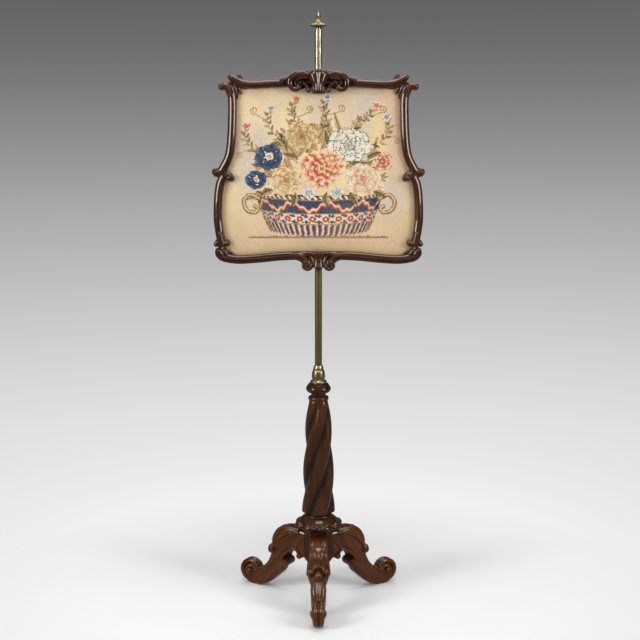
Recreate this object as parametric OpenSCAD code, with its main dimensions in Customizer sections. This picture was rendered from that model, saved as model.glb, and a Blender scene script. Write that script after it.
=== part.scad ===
// Carved pole screen: a tripod stand with a spiral column carries a brass pole,
// and a scroll frame with a needlework panel slides and turns on that pole.
// The floor is z = 0, the pole's axis is x = y = 0 and the front is -Y.

/* [Tripod] */
// Height of the top of the legs above the floor
leg_top_z = 179; // [174:1:184]
// Thickness of a leg where it meets the hub
leg_root_t = 42; // [34:1:44]
// Thickness of a leg at the ankle
ankle_t = 31; // [26:1:38]
// Distance of the eye of a foot scroll from the pole's axis
foot_reach = 207; // [190:1:240]
// Radius of a foot scroll
foot_r = 32; // [28:1:34]
// Width of the toe roll
toe_w = 28; // [20:1:32]
// Width over the eyes of a foot scroll
foot_eye_w = 44; // [36:1:52]
// Width of the roll under a knee
ear_w = 44; // [42:1:56]
// Radius of the roll under a knee
ear_r = 11.5; // [9:0.5:13]
// How far the rim of the C scroll stands out from the side of a leg
rim_proud = 8.5; // [4:0.5:10]
// Radius of the knob on a knee
knee_r = 16.5; // [13:0.5:19]
// Width of the knob on a knee
knee_w = 26; // [18:1:32]

/* [Hub and dome] */
// Radius of the fluted hub
hub_r = 37; // [35:0.5:42]
// Height of the hub's underside above the floor
hub_base_z = 95; // [86:1:104]
// Height of the hub's top, which the dome stands on
hub_top_z = 190; // [186:1:206]
// Number of flutes between two legs
flutes = 5; // [3:1:6]
// Radius of a flute
flute_r = 3; // [2:0.25:3.5]
// Radius of the dome at its lobed rim
dome_r = 63.5; // [58:0.5:70]
// Height of the dome
dome_h = 36; // [30:1:44]
// Number of lobes round the dome
dome_lobes = 8; // [6:1:12]
// Depth of the lobes
dome_lobe_depth = 3.5; // [1:0.25:4]

/* [Column] */
// Length of the spiral column
column_len = 312; // [260:1:360]
// Radius of the column at its foot
column_foot_r = 43; // [36:0.5:46]
// Radius of the column at its head
column_head_r = 26; // [23:0.5:30]
// Number of strands of the spiral
strands = 4; // [3:1:5]
// Height of one full turn of the spiral
twist_pitch = 484; // [360:4:640]
// Depth of the groove between strands, as a part of the radius
groove_depth = 0.25; // [0.1:0.01:0.3]
// Radius of the column's lower tenon
tenon_r = 14; // [10:0.5:16]
// Length of the column's lower tenon
tenon_len = 90; // [60:1:110]
// Radius of the column's upper tenon
peg_r = 9; // [7:0.25:11]
// Length of the column's upper tenon
peg_len = 8; // [5:0.5:8.5]

/* [Knop and ferrule] */
// Largest radius of the turned knop
knop_r = 32; // [28:0.5:36]
// Height of the knop
knop_h = 33; // [30:0.5:40]
// Radius of the neck under the knop
neck_r = 18.7; // [16.5:0.1:21]
// Radius of the ferrule's flange
flange_r = 21; // [18:0.5:24]
// Height of the ferrule above the knop
ferrule_h = 47; // [40:0.5:56]
// Radius of the ferrule's bulb
bulb_r = 17; // [15:0.5:19]
// Outer radius of the ferrule's socket inside the knop
socket_r = 12; // [11:0.25:14]
// Depth of the socket inside the knop
socket_depth = 21; // [16:0.5:22]

/* [Pole and finial] */
// Diameter of the brass pole
pole_d = 18; // [16:0.5:19]
// Wall of the brass pole
pole_wall = 1.5; // [1:0.1:2.5]
// Length of the pole
pole_len = 902; // [860:1:960]
// Height of the finial above the pole
finial_h = 46; // [40:0.5:60]
// Radius of the finial's disc
finial_r = 20; // [14:0.5:24]
// Length of the finial's plug inside the pole
plug_len = 22; // [12:1:40]

/* [Screen frame] */
// Height of the sight edge of the bottom rail above the ferrule
screen_rise = 296; // [270:1:310]
// Sight width between the upper stiles
sight_w_top = 400; // [380:1:420]
// Sight width between the lower stiles
sight_w_low = 478; // [462:1:496]
// Sight height between the rails
sight_h = 403; // [390:1:430]
// Height of the waist of the stiles above the bottom rail
waist_h = 163; // [155:1:172]
// Width of a stile
stile_w = 21; // [19:0.5:23]
// Width of a rail
rail_w = 22; // [20:0.5:24]
// Thickness of the frame from back to front
frame_t = 26; // [24:0.5:30]
// Distance of the frame's back from the pole's axis
frame_back = 15; // [14:0.5:20]
// How far the crest and the apron stand in front of the frame
crest_proud = 9; // [4:0.5:14]
// Diameter of the dowels at the frame's corners
dowel_d = 6; // [4:0.5:7]
// Length of the dowels at the frame's corners
dowel_len = 20; // [14:1:24]

/* [Panel] */
// How far the panel reaches behind the frame's sight edge
panel_lip = 6; // [4:0.5:8]
// Thickness of the needlework
needlework_t = 2.4; // [1.5:0.1:4]
// Thickness of the board behind the needlework
board_t = 8; // [6:0.5:9]
// Thickness of the cloth over the back of the board
back_cloth_t = 0.8; // [0.6:0.1:1.4]
// Length of a turn button
button_len = 24; // [20:0.5:28]
// Width of a turn button
button_w = 9; // [7:0.5:11]
// Thickness of a turn button
button_t = 1.8; // [1:0.1:2.5]

/* [Brackets and clamp] */
// Outer radius of a bracket's ring
ring_r = 13; // [12:0.25:15]
// Height of a bracket's ring
ring_h = 15; // [12:0.5:18]
// Width of a bracket's plate
plate_w = 64; // [50:1:80]
// Thickness of a bracket's plate
plate_t = 2.5; // [2:0.25:3.5]
// Distance between a bracket's two screws
screw_span = 46; // [38:1:50]
// Diameter of a screw's shank
screw_d = 3; // [2.5:0.25:3.5]
// Diameter of a screw's head
screw_head_d = 6.4; // [5.5:0.1:7.5]
// Length of a screw's shank
screw_len = 11; // [8:0.5:11]
// Radius of the boss round the thumbscrew
boss_r = 7; // [6.5:0.25:7.5]
// Length of the boss behind the ring
boss_len = 10; // [8:0.5:14]
// Radius of the clamp pad
pad_r = 4.5; // [4:0.1:5]
// Thickness of the clamp pad
pad_t = 2; // [1.5:0.1:2.4]
// Outward travel of the clamp pad
pad_travel = 3; // [1:0.1:3.2]
// Diameter of the thumbscrew's shank
thumb_d = 6; // [5:0.25:7]
// Width of the thumbscrew's wing
wing_w = 24; // [18:0.5:30]
// Thickness of the thumbscrew's wing
wing_t = 3.2; // [2:0.1:4]

/* [Clearances] */
// Radial clearance of a running fit on brass
run_fit = 0.06; // [0.03:0.01:0.1]
// Clearance of a glued or screwed joint in wood
wood_fit = 0.15; // [0.1:0.01:0.3]
// Clearance of the panel in its rebate
panel_fit = 0.3; // [0.2:0.05:0.6]
// Gap between the clamp pad and the pole
pad_gap = 0.2; // [0.1:0.05:0.3]

/* [Hidden] */

wood = "#4a2c1c";
wood_light = "#5c3820";
brass = "#a08a4c";
cream = "#dcc69c";
cloth_tan = "#a8906c";
smooth_fn = 96;
bead_fn = 8;
eps = 0.01;
// Sides of a drilled hole in carved wood
hole_sides = 8;

// Heights that follow from the stack of turned pieces
dome_top_z = hub_top_z + dome_h;
knop_z = dome_top_z + column_len;
ferrule_z = knop_z + knop_h;
ferrule_top_z = ferrule_z + ferrule_h;
socket_z = ferrule_z - socket_depth;
socket_floor = 2;
pole_r = pole_d / 2;
pole_z = socket_z + socket_floor + run_fit;
pole_top_z = pole_z + pole_len;

// Places of the screen
sight_z = ferrule_top_z + screen_rise;
half_top = sight_w_top / 2;
half_low = sight_w_low / 2;
front_y = -frame_back - frame_t;
rebate_depth = needlework_t + board_t + back_cloth_t + 4 * panel_fit;
rebate_y = -frame_back - rebate_depth;
upper_ring_z = sight_h + rail_w / 2;
lower_ring_z = -rail_w / 2;

// A point of the smooth curve through p1 and p2, with p0 and p3 as neighbours
function blend_point(p0, p1, p2, p3, t) =
    ((p3 - p2 * 3 + p1 * 3 - p0) * t * t * t
    + (p0 * 2 - p1 * 5 + p2 * 4 - p3) * t * t
    + (p2 - p0) * t + p1 * 2) / 2;

// A smooth curve through all the points, with n steps between two of them
function curve(pts, n) = let (last = len(pts) - 1) concat(
    [for (i = [0 : last - 1], k = [0 : n - 1])
        blend_point(pts[max(i - 1, 0)], pts[i], pts[i + 1], pts[min(i + 2, last)], k / n)],
    [pts[last]]);

function unit(v) = v / norm(v);
function lerp(a, b, t) = a + (b - a) * t;
function power_wave(c, p) = sign(c) * pow(abs(c), p);
function flip_x(pts) = [for (i = [len(pts) - 1 : -1 : 0]) [-pts[i][0], pts[i][1]]];

// Outward normals of a path that runs clockwise as seen from the front
function path_normals(p) = [for (i = [0 : len(p) - 1])
    let (t = unit(p[min(i + 1, len(p) - 1)] - p[max(i - 1, 0)])) [-t[1], t[0]]];

// Closed skin over rings of points; loop joins the last ring to the first
module skin(rings, loop = false) {
    n = len(rings[0]);
    m = len(rings);
    sides = [for (i = [0 : m - (loop ? 1 : 2)], j = [0 : n - 1], half = [0, 1])
        let (a = i * n + j, b = i * n + (j + 1) % n)
        let (c = (a + n) % (m * n), d = (b + n) % (m * n))
        half == 0 ? [a, c, b] : [b, c, d]];
    caps = loop ? [] : [[for (j = [0 : n - 1]) j], [for (j = [n - 1 : -1 : 0]) (m - 1) * n + j]];
    polyhedron(points = [for (r = rings, p = r) p], faces = concat(sides, caps), convexity = 8);
}

// A turned piece from its outline of [radius, height] points
module turned(outline) {
    rotate_extrude($fn = smooth_fn) polygon(outline);
}

// LEGS

hub_flat_r = hub_r - 6;
tail_depth = 10;
tail_neck_w = 12;
tail_end_w = 18;
tail_base_z = hub_base_z + 16;
tail_top_z = leg_top_z - 10;
foot_eye_z = foot_r + 4;
ear_at = [hub_r + 58, leg_top_z - 100];
knee_at = [hub_r + 102, leg_top_z - 68];

function leg_half(t) = lerp(leg_root_t, ankle_t, t) / 2;

// Rows of a leg: top edge, under edge and half the thickness
function leg_rows() = let (h = hub_flat_r + wood_fit, z = leg_top_z, f = foot_reach, e = foot_eye_z) [
    [h, z - 3, h, z - 79, leg_half(0)],
    [hub_r + 22, z - 1, hub_r + 13, z - 75, leg_half(0)],
    [hub_r + 50, z, hub_r + 24, z - 61.5, leg_half(0)],
    [hub_r + 72, z - 6, hub_r + 38, z - 63, leg_half(0)],
    [hub_r + 89, z - 21, hub_r + 53, z - 77, leg_half(0)],
    [hub_r + 99, z - 41, hub_r + 61, z - 92, leg_half(0)],
    [hub_r + 103, z - 65, hub_r + 62, z - 107, leg_half(0.1)],
    [f - 64, e + 57, f - 103, e + 15, leg_half(0.25)],
    [f - 56, e + 35, f - 87, e - 1, leg_half(0.5)],
    [f - 41, e + 18, f - 68, e - 18, leg_half(0.8)],
    [f - 26, e + 11, f - 47, e - 29, leg_half(1)],
    [f - 12, e + 8, f - 22, e - 36.5, toe_w / 2],
    [f, e + 2, f, e - 36.5, toe_w / 2],
    [f + 6, e, f + 16, e - 27, toe_w / 2]
];

leg_sides = 8;
leg_corner = 0.6;
leg_rings = [for (row = curve(leg_rows(), 2))
    let (top = [row[0], row[1]], under = [row[2], row[3]])
    let (mid = (top + under) / 2, half = (top - under) / 2)
    [for (k = [0 : leg_sides - 1]) let (a = 360 * (k + 0.5) / leg_sides)
        let (u = power_wave(sin(a), leg_corner), v = power_wave(cos(a), leg_corner))
        [mid[0] + half[0] * u, row[4] * v, mid[1] + half[1] * u]]];

// A scroll that lies across the leg, round at both ends
module cross_scroll(at, r, w, $fn = 12) {
    edge = min(r, w) * 0.3;
    translate([at[0], 0, at[1]]) rotate([90, 0, 0])
        rotate_extrude() polygon([
            [0, -w / 2], [r - edge, -w / 2], [r, -w / 2 + edge],
            [r, w / 2 - edge], [r - edge, w / 2], [0, w / 2]
        ]);
}

// Raised rim of the C scroll between the roll and the hub, on both sides of the leg:
// place in the side view, and how much of the rim's full height shows there
c_scroll_r = 4.5;
function c_scroll_path() = [for (p = [
    [7, 3, 0.3], [2, 20, 1], [-9, 33, 0.85], [-22, 42, 0.6],
    [-35.5, 45.5, 0.45], [-44, 40, 0.4], [-48, 28, 0.35]
]) [ear_at[0] + p[0], ear_at[1] + p[1], rim_proud * p[2]]];

module c_scroll() {
    path = c_scroll_path();
    for (i = [0 : len(path) - 2])
        hull() for (p = [path[i], path[i + 1]])
            translate([p[0], 0, p[1]]) rotate([90, 0, 0])
                cylinder(r = c_scroll_r, h = leg_root_t + 2 * p[2], center = true, $fn = 8);
}

// Lobes of the leaf that caps the front of the leg, and the long bead under it
module leaf_cap() {
    for (side = [-1, 1])
        hull() {
            translate([hub_r + 54, side * leg_root_t / 4, leg_top_z - 6]) sphere(9, $fn = 6);
            translate([hub_r + 86, side * leg_root_t / 5, leg_top_z - 20]) sphere(6, $fn = 6);
        }
    hull() {
        translate([hub_r + 90, 0, leg_top_z - 28]) sphere(7, $fn = 6);
        translate([hub_r + 98, 0, leg_top_z - 52]) sphere(8, $fn = 6);
    }
}

// Dovetail that slides up into the hub; grow widens it for its socket
module dovetail(base_z, grow = 0) {
    inner_r = hub_flat_r - tail_depth - grow;
    neck = tail_neck_w / 2 + grow;
    end = tail_end_w / 2 + grow;
    outer_r = hub_flat_r + wood_fit + 1;
    translate([0, 0, base_z])
        linear_extrude(tail_top_z + grow - base_z)
            polygon([[inner_r, -end], [inner_r, end], [hub_flat_r, neck], [outer_r, neck],
                [outer_r, -neck], [hub_flat_r, -neck]]);
}

module leg(azimuth) {
    color(wood_light) rotate([0, 0, azimuth]) difference() {
        union() {
            skin(leg_rings);
            dovetail(tail_base_z);
            cross_scroll([foot_reach, foot_eye_z], foot_r, toe_w, $fn = 22);
            cross_scroll([foot_reach, foot_eye_z], foot_r * 0.6, foot_eye_w);
            cross_scroll(ear_at, ear_r, ear_w);
            cross_scroll(knee_at, knee_r, knee_w);
            c_scroll();
            leaf_cap();
        }
        translate([foot_reach, 0, -foot_r]) cube([4 * foot_r, 4 * toe_w, 2 * foot_r], center = true);
    }
}

module leg_front() { leg(-90); }
module leg_right() { leg(30); }
module leg_left() { leg(150); }

// HUB, DOME AND COLUMN

hub_round = 14;
flute_gap_deg = 9.5;

module hub() {
    color(wood) difference() {
        turned(concat(
            [[0, hub_base_z], [hub_r - hub_round, hub_base_z]],
            [for (a = [-75 : 15 : 0])
                [hub_r - hub_round + hub_round * cos(a), hub_base_z + hub_round + hub_round * sin(a)]],
            [[hub_r, hub_top_z], [0, hub_top_z]]));
        translate([0, 0, dome_top_z - tenon_len - wood_fit])
            cylinder(r = tenon_r + wood_fit, h = tenon_len, $fn = smooth_fn);
        for (azimuth = [-90, 30, 150]) rotate([0, 0, azimuth]) {
            translate([hub_flat_r, -hub_r, hub_base_z - 1])
                cube([hub_r, 2 * hub_r, hub_top_z - hub_base_z + 2]);
            dovetail(hub_base_z - 1, wood_fit);
            for (k = [0 : flutes - 1])
                rotate([0, 0, 60 + (k - (flutes - 1) / 2) * flute_gap_deg])
                    translate([hub_r + flute_r / 2, 0, hub_base_z + hub_round + flute_r])
                        cylinder(r = flute_r, h = hub_top_z - hub_base_z - 2 * hub_round, $fn = 24);
        }
    }
}

// Rows of the dome: radius, height and how much of the lobe depth shows; a plain roll tops the lobes
dome_roll_r = dome_r - 18;
function dome_rows() = [
    [dome_r - 5, hub_top_z, 0.5], [dome_r, hub_top_z + dome_h * 0.13, 1],
    [dome_r, hub_top_z + dome_h * 0.31, 1], [dome_r - 4, hub_top_z + dome_h * 0.48, 0.8],
    [dome_r - 11, hub_top_z + dome_h * 0.6, 0.35], [dome_roll_r - 0.5, hub_top_z + dome_h * 0.67, 0],
    [dome_roll_r + 0.5, hub_top_z + dome_h * 0.8, 0], [dome_roll_r - 3, hub_top_z + dome_h * 0.94, 0],
    [dome_roll_r - 9, dome_top_z, 0], [tenon_r + wood_fit, dome_top_z, 0], [tenon_r + wood_fit, hub_top_z, 0]
];

module dome() {
    sides = dome_lobes * 6;
    color(wood) skin([for (row = dome_rows())
        let (r_outer = row[0] / cos(row[0] < 2 * tenon_r ? 180 / sides : 0))
        [for (k = [0 : sides - 1]) let (a = 360 * k / sides)
            let (r = r_outer - dome_lobe_depth * row[2] * (1 - abs(cos(a * dome_lobes / 2))))
            [r * cos(a), r * sin(a), row[1]]]], loop = true);
}

// Rows of the column: radius, height above its foot and how much of the groove depth shows
column_neck_in = 16;
collar_in = 1.8;
function column_rows() = concat(
    [[column_foot_r - column_neck_in, 0, 0], [column_foot_r - column_neck_in + 1.5, 3.5, 0.2]],
    curve([
        [column_foot_r - 3, 7, 0.9], [column_foot_r, 15, 1],
        [lerp(column_foot_r, column_head_r, 0.17), column_len * 0.34, 1],
        [lerp(column_foot_r, column_head_r, 0.5), column_len * 0.73, 1],
        [column_head_r + 2, column_len - 22, 0.8], [column_head_r - collar_in, column_len - 10, 0]
    ], 3),
    [[column_head_r, column_len - 7, 0], [column_head_r, column_len - 2.5, 0],
        [column_head_r - collar_in, column_len, 0]]);

strand_steps = 6;
module column() {
    sides = strands * strand_steps;
    lower = [for (z = [-tenon_len + 1, 0]) [tenon_r, z, 0]];
    upper = [for (z = [column_len, column_len + peg_len]) [peg_r, z, 0]];
    color(wood) translate([0, 0, dome_top_z])
        skin([for (row = concat(lower, column_rows(), upper))
            [for (k = [0 : sides - 1]) let (a = 360 * k / sides)
                let (r = row[0] * (1 - groove_depth * row[2] * (1 - pow(abs(cos(a * strands / 2)), 0.75))))
                let (turn = 360 * row[1] / twist_pitch)
                [r * cos(a + turn), r * sin(a + turn), row[1]]]]);
}

// KNOP, FERRULE, POLE AND FINIAL

module knop() {
    color(wood) difference() {
        turned(concat(
            [[0, knop_z], [neck_r, knop_z]],
            curve([[neck_r, knop_z + 2], [neck_r + 1, knop_z + 8], [knop_r - 4, knop_z + 12],
                [knop_r, knop_z + 20], [knop_r - 3, ferrule_z - 6], [knop_r - 7, ferrule_z]], 4),
            [[0, ferrule_z]]));
        translate([0, 0, knop_z - 1])
            cylinder(r = peg_r + wood_fit, h = peg_len + 1 + wood_fit, $fn = smooth_fn);
        translate([0, 0, socket_z - wood_fit])
            cylinder(r = socket_r + wood_fit, h = socket_depth + 1, $fn = smooth_fn);
    }
}

module ferrule() {
    color(brass) difference() {
        turned(concat(
            [[0, socket_z], [socket_r, socket_z], [socket_r, ferrule_z], [flange_r - 1, ferrule_z]],
            curve([[flange_r, ferrule_z + 2], [flange_r, ferrule_z + 6], [flange_r - 4, ferrule_z + 10]], 4),
            curve([[bulb_r - 1.5, ferrule_z + 11], [bulb_r, ferrule_z + 18],
                [bulb_r - 1.2, ferrule_z + 31], [bulb_r - 3.5, ferrule_z + 35]], 4),
            [[pole_r + 4, ferrule_z + 36], [pole_r + 4, ferrule_top_z - 6], [pole_r + 1.6, ferrule_top_z],
                [0, ferrule_top_z]]));
        translate([0, 0, socket_z + socket_floor])
            cylinder(r = pole_r + run_fit, h = ferrule_top_z, $fn = smooth_fn);
    }
}

module pole() {
    color(brass) difference() {
        translate([0, 0, pole_z]) cylinder(r = pole_r, h = pole_len, $fn = smooth_fn);
        translate([0, 0, pole_z - 1]) cylinder(r = pole_r - pole_wall, h = pole_len + 2, $fn = smooth_fn);
    }
}

module finial() {
    plug_r = pole_r - pole_wall - wood_fit;
    z = pole_top_z;
    tip = z + finial_h;
    color(brass) turned(concat(
        [[0, z - plug_len], [plug_r, z - plug_len], [plug_r, z], [pole_r, z], [pole_r, z + 1.5]],
        curve([[pole_r - 3, z + 3], [pole_r - 2, z + 6], [finial_r - 4, z + 8], [finial_r, z + 11.5],
            [finial_r - 3, z + 15], [finial_r * 0.4, z + 18]], 3),
        curve([[6, z + 20], [6, z + 23], [3.5, z + 26], [3.5, tip - 18], [6.3, tip - 13],
            [3.5, tip - 6], [1, tip - 1]], 3),
        [[0, tip]]));
}

// SCREEN FRAME
// Paths run clockwise as seen from the front, as [x, height above the bottom sight edge].

function top_half_path() = [
    [0, sight_h], [half_top - 125, sight_h - 1], [half_top - 78, sight_h - 6], [half_top - 42, sight_h - 8],
    [half_top - 24, sight_h - 7], [half_top - 9, sight_h - 1], [half_top + 2, sight_h + 8],
    [half_top + 8, sight_h + 17]
];
function upper_stile_path() = [
    [half_top + 17, sight_h - 7], [half_top + 6, sight_h - 17], [half_top, sight_h - 36],
    [half_top + 1, sight_h - 83], [half_top + 3, sight_h - 120], [half_top + 7, waist_h + 84],
    [half_top + 14, waist_h + 60], [half_top + 26, waist_h + 39], [half_top + 38, waist_h + 28]
];
function lower_stile_path() = [
    [half_low - 20, waist_h + 12], [half_low - 14, waist_h + 2], [half_low - 8, waist_h - 12],
    [half_low - 1, waist_h - 37], [half_low, waist_h - 62], [half_low, 77], [half_low - 3, 52],
    [half_low - 6, 34], [half_low - 12, 22]
];
function bottom_half_path() = [
    [half_low + 1, 8], [half_low - 5, 0], [half_low - 19, -7], [half_low - 42, -10], [half_low - 90, -7],
    [half_low - 139, -2], [half_low - 189, 0], [0, 0]
];

// Outline of the opening that the frame leaves for the panel
sight_half = concat(
    curve([for (i = [0 : 4]) top_half_path()[i]], 2),
    [[half_top - 6, sight_h - 16]],
    curve([for (i = [2 : 6]) upper_stile_path()[i]], 2),
    curve([for (i = [2 : 7]) lower_stile_path()[i]], 2),
    curve([for (i = [2 : 7]) bottom_half_path()[i]], 2));

module panel_outline(grow) {
    offset(delta = panel_lip + grow)
        polygon(concat(sight_half, flip_x([for (i = [1 : len(sight_half) - 2]) sight_half[i]])));
}

// A flat piece of the panel, from its front face back
module panel_layer(y_front, t, grow = 0) {
    translate([0, y_front + t, sight_z]) rotate([90, 0, 0]) linear_extrude(t) panel_outline(grow);
}

// Section of the moulding: part of the width outward, part of the thickness forward
moulding = [
    [1, 0], [1, 0.45], [0.94, 0.8], [0.72, 1], [0.46, 0.92], [0.3, 0.7], [0.1, 0.66], [0, 0.5], [0, 0]
];

// A carved moulding along a path, with its back on the frame's back plane
module member(path, w, steps = 2) {
    p = curve(path, steps);
    n = path_normals(p);
    skin([for (i = [0 : len(p) - 1])
        [for (s = moulding) let (q = p[i] + n[i] * w * s[0])
            [q[0], -frame_back - frame_t * s[1], sight_z + q[1]]]]);
}

// A round carved scroll eye, from a back depth to a front depth
module eye(at, r, front = front_y, back = -frame_back) {
    dome_depth = min(r, back - front - eps);
    translate([at[0], front + dome_depth, sight_z + at[1]]) rotate([90, 0, 0]) hull() {
        scale([1, 1, dome_depth / r]) sphere(r, $fn = bead_fn);
        translate([0, 0, front + dome_depth - back]) cylinder(r = r, h = eps, $fn = bead_fn);
    }
}

// A flat ground behind a scroll
module web(at, r, front, back = -frame_back) {
    translate([at[0], back, sight_z + at[1]]) rotate([90, 0, 0]) cylinder(r = r, h = back - front, $fn = 16);
}

// A carved lobe between two scroll eyes
module lobe(a, ra, b, rb, front = front_y, back = -frame_back) {
    hull() {
        eye(a, ra, front, back);
        eye(b, rb, front, back);
    }
}

// The half plane on the outer side of a corner's joint, for one side of the frame
corner_at = [half_top - 10, sight_h - 18];
corner_deg = 41;
corner_low_z = 9.5;
big = 400;

module above_mitre(gap) {
    translate([corner_at[0], 0, sight_z + corner_at[1]]) rotate([0, -corner_deg, 0])
        translate([-big / 2, -big / 2, gap]) cube([big, big, big]);
}

module below_mitre(gap) {
    translate([corner_at[0], 0, sight_z + corner_at[1]]) rotate([0, -corner_deg, 0])
        translate([-big / 2, -big / 2, -big - gap]) cube([big, big, big]);
}

// Dowels of the right-hand corners, square to their joints
dowel_y = -frame_back - frame_t * 0.36;
dowel_top_x = corner_at[0] + 20;
dowel_low_at = [half_low + 6, corner_low_z];

module corner_dowel_pair(grow = 0) {
    sides = grow == 0 ? 24 : hole_sides;
    r = (dowel_d / 2 + grow) / (grow == 0 ? 1 : cos(180 / hole_sides));
    length = dowel_len + 2 * grow;
    dowel_top_z = corner_at[1] + (dowel_top_x - corner_at[0]) * tan(corner_deg);
    translate([dowel_top_x, dowel_y, sight_z + dowel_top_z]) rotate([0, -corner_deg, 0])
        cylinder(r = r, h = length, center = true, $fn = sides);
    translate([dowel_low_at[0], dowel_y, sight_z + corner_low_z])
        cylinder(r = r, h = length, center = true, $fn = sides);
}

module both_sides() {
    children();
    mirror([1, 0, 0]) children();
}

// The pocket behind the sight edge that takes the panel
module rebate() {
    panel_layer(-frame_back - rebate_depth, rebate_depth + 1, panel_fit);
}

module top_rail() {
    heel = corner_at + [10, 18];
    color(wood) difference() {
        union() {
            member(concat(flip_x([for (i = [1 : 7]) top_half_path()[i]]), top_half_path()), rail_w);
            both_sides() {
                eye(top_half_path()[7] + [1, 6], 7.5);
                lobe([half_top - 13, sight_h + 25], 6, [half_top - 19, sight_h + 16], 7);
                lobe(heel, 11, heel + [12, 12], 9, front_y + 3);
                eye([half_top + 3, sight_h + 20], 9, front_y + 2);
            }
        }
        rebate();
        both_sides() below_mitre(-wood_fit);
        both_sides() corner_dowel_pair(wood_fit);
        bracket_screw_shanks(wood_fit);
        button_screw_shanks(wood_fit);
    }
}

module bottom_rail() {
    heel = [half_low + 4, 1];
    color(wood) difference() {
        union() {
            member(concat(bottom_half_path(), flip_x([for (i = [0 : 6]) bottom_half_path()[i]])), rail_w);
            both_sides() {
                lobe(heel, 10, heel + [4, 4], 9, front_y + 2);
                lobe([half_low + 10, 5], 8, [half_low + 7, -4], 9);
                lobe([half_low - 8, 3], 6, [half_low - 20, -8], 5, front_y + 4);
                eye([half_low + 13, 4], 6.5);
            }
        }
        rebate();
        translate([-big, -big / 2, sight_z + corner_low_z - wood_fit]) cube([2 * big, big, big]);
        both_sides() corner_dowel_pair(wood_fit);
        bracket_screw_shanks(wood_fit);
        button_screw_shanks(wood_fit);
    }
}

module stile() {
    difference() {
        union() {
            member(upper_stile_path(), stile_w);
            member(lower_stile_path(), stile_w);
            eye([half_top + 28, sight_h - 2], 11, front_y - 1);
            lobe([half_low + 11, waist_h + 32], 11, [half_low - 3, waist_h + 30], 9, front_y - 1);
            lobe([half_low - 17, waist_h + 22], 12.5, [half_low - 8, waist_h + 18], 10, front_y - 1);
            lobe([half_low - 7, 18], 11.5, [half_low + 8, 20], 10, front_y);
            eye([half_low + 18, 15], 6.5, front_y + 4);
            lobe([half_top + 6, sight_h - 12], 11, [half_top - 8, sight_h - 22], 7, front_y + 2, rebate_y);
            lobe([half_top + 2, sight_h - 14], 8, [half_top - 22, sight_h - 13], 5, front_y + 4, rebate_y);
            lobe([half_top + 6, sight_h - 18], 8, [half_top + 1, sight_h - 36], 5, front_y + 4, rebate_y);
            lobe([half_top + 20, sight_h - 4], 9, [half_top + 8, sight_h - 8], 9, front_y + 2);
        }
        rebate();
        above_mitre(wood_fit);
        translate([0, -big / 2, sight_z + corner_low_z + wood_fit - big]) cube([big, big, big]);
        corner_dowel_pair(wood_fit);
        button_screw_shanks(wood_fit);
    }
}

module right_stile() { color(wood) stile(); }
module left_stile() { color(wood) mirror([1, 0, 0]) stile(); }
module corner_dowels() { color(wood_light) both_sides() corner_dowel_pair(); }

// The shell crest over the top rail: rim scrolls and a fluted fan
crest_front = front_y - crest_proud;
crest_flutes = 5;

// A channel over a rail, from its front back, which the crest or the apron is fitted over
module rail_channel(half_path) {
    path = concat(flip_x([for (i = [1 : len(half_path) - 1]) half_path[i]]), half_path);
    p = curve(path, 2);
    n = path_normals(p);
    translate([0, 1, sight_z]) rotate([90, 0, 0])
        linear_extrude(1 - front_y + wood_fit)
            polygon(concat([for (i = [0 : len(p) - 1]) p[i] - n[i] * wood_fit],
                [for (i = [len(p) - 1 : -1 : 0]) p[i] + n[i] * (rail_w + wood_fit)]));
}

module crest() {
    arm = [for (a = [120 : -62.5 : -130]) [50 + 19 * cos(a), sight_h + 12 + 18 * sin(a)]];
    color(wood) difference() {
        union() {
            both_sides() {
                for (i = [0 : len(arm) - 2])
                    lobe(arm[i], 8 - 0.5 * i, arm[i + 1], 7.5 - 0.5 * i, crest_front + i);
                web([47, sight_h + 11], 24, crest_front + 6);
                eye([53, sight_h + 14], 8, crest_front + 1);
                lobe([24, sight_h - 11], 7, [17, sight_h + 2], 6, crest_front + 2);
            }
            for (k = [0 : crest_flutes - 1]) let (s = k - (crest_flutes - 1) / 2)
                lobe([s * 7, sight_h - 9 + abs(s)], 5.5, [s * 12.5, sight_h + 38 - abs(s) * 3], 7,
                    crest_front - 3 + abs(s));
        }
        translate([-big / 2, rebate_y - panel_fit, sight_z - big + sight_h + 1]) cube([big, big, big]);
        translate([-big / 2, -frame_back - 3, sight_z]) cube([big, big, big]);
        rail_channel(top_half_path());
    }
}

module apron() {
    upright = [for (i = [7 : -1 : 0]) [bottom_half_path()[i][0], -bottom_half_path()[i][1]]];
    arm = [for (a = [60 : -75 : -240]) [30 + 13 * cos(a), -35 + 12 * sin(a)]];
    color(wood) difference() {
        union() {
            both_sides() {
                for (i = [0 : len(arm) - 2])
                    lobe(arm[i], 5.5, arm[i + 1], 5.5 - 0.2 * i, crest_front + 1);
                lobe([27, -36], 9, [17, -14], 8, crest_front + 2);
                lobe([26, -10], 7, [40, -18], 6, crest_front + 4);
            }
            for (k = [-1 : 1])
                lobe([k * 9, -3 + abs(k)], 6.5, [k * 4, -44 + abs(k) * 3], 4.5, crest_front - 2 + abs(k));
        }
        translate([-big / 2, rebate_y - panel_fit, sight_z - 1]) cube([big, big, big]);
        translate([-big / 2, -frame_back - 3, sight_z - big / 2]) cube([big, big, big]);
        translate([0, 0, 2 * sight_z]) mirror([0, 0, 1]) rail_channel(upright);
    }
}

// PANEL

needlework_y = rebate_y + panel_fit;
board_y = needlework_y + needlework_t + panel_fit / 3;
back_cloth_y = board_y + board_t + panel_fit / 3;

module needlework() { color(cream) panel_layer(needlework_y, needlework_t); }
module mount_board() { color(wood_light) panel_layer(board_y, board_t); }
module back_cloth() { color(cloth_tan) panel_layer(back_cloth_y, back_cloth_t); }

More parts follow.
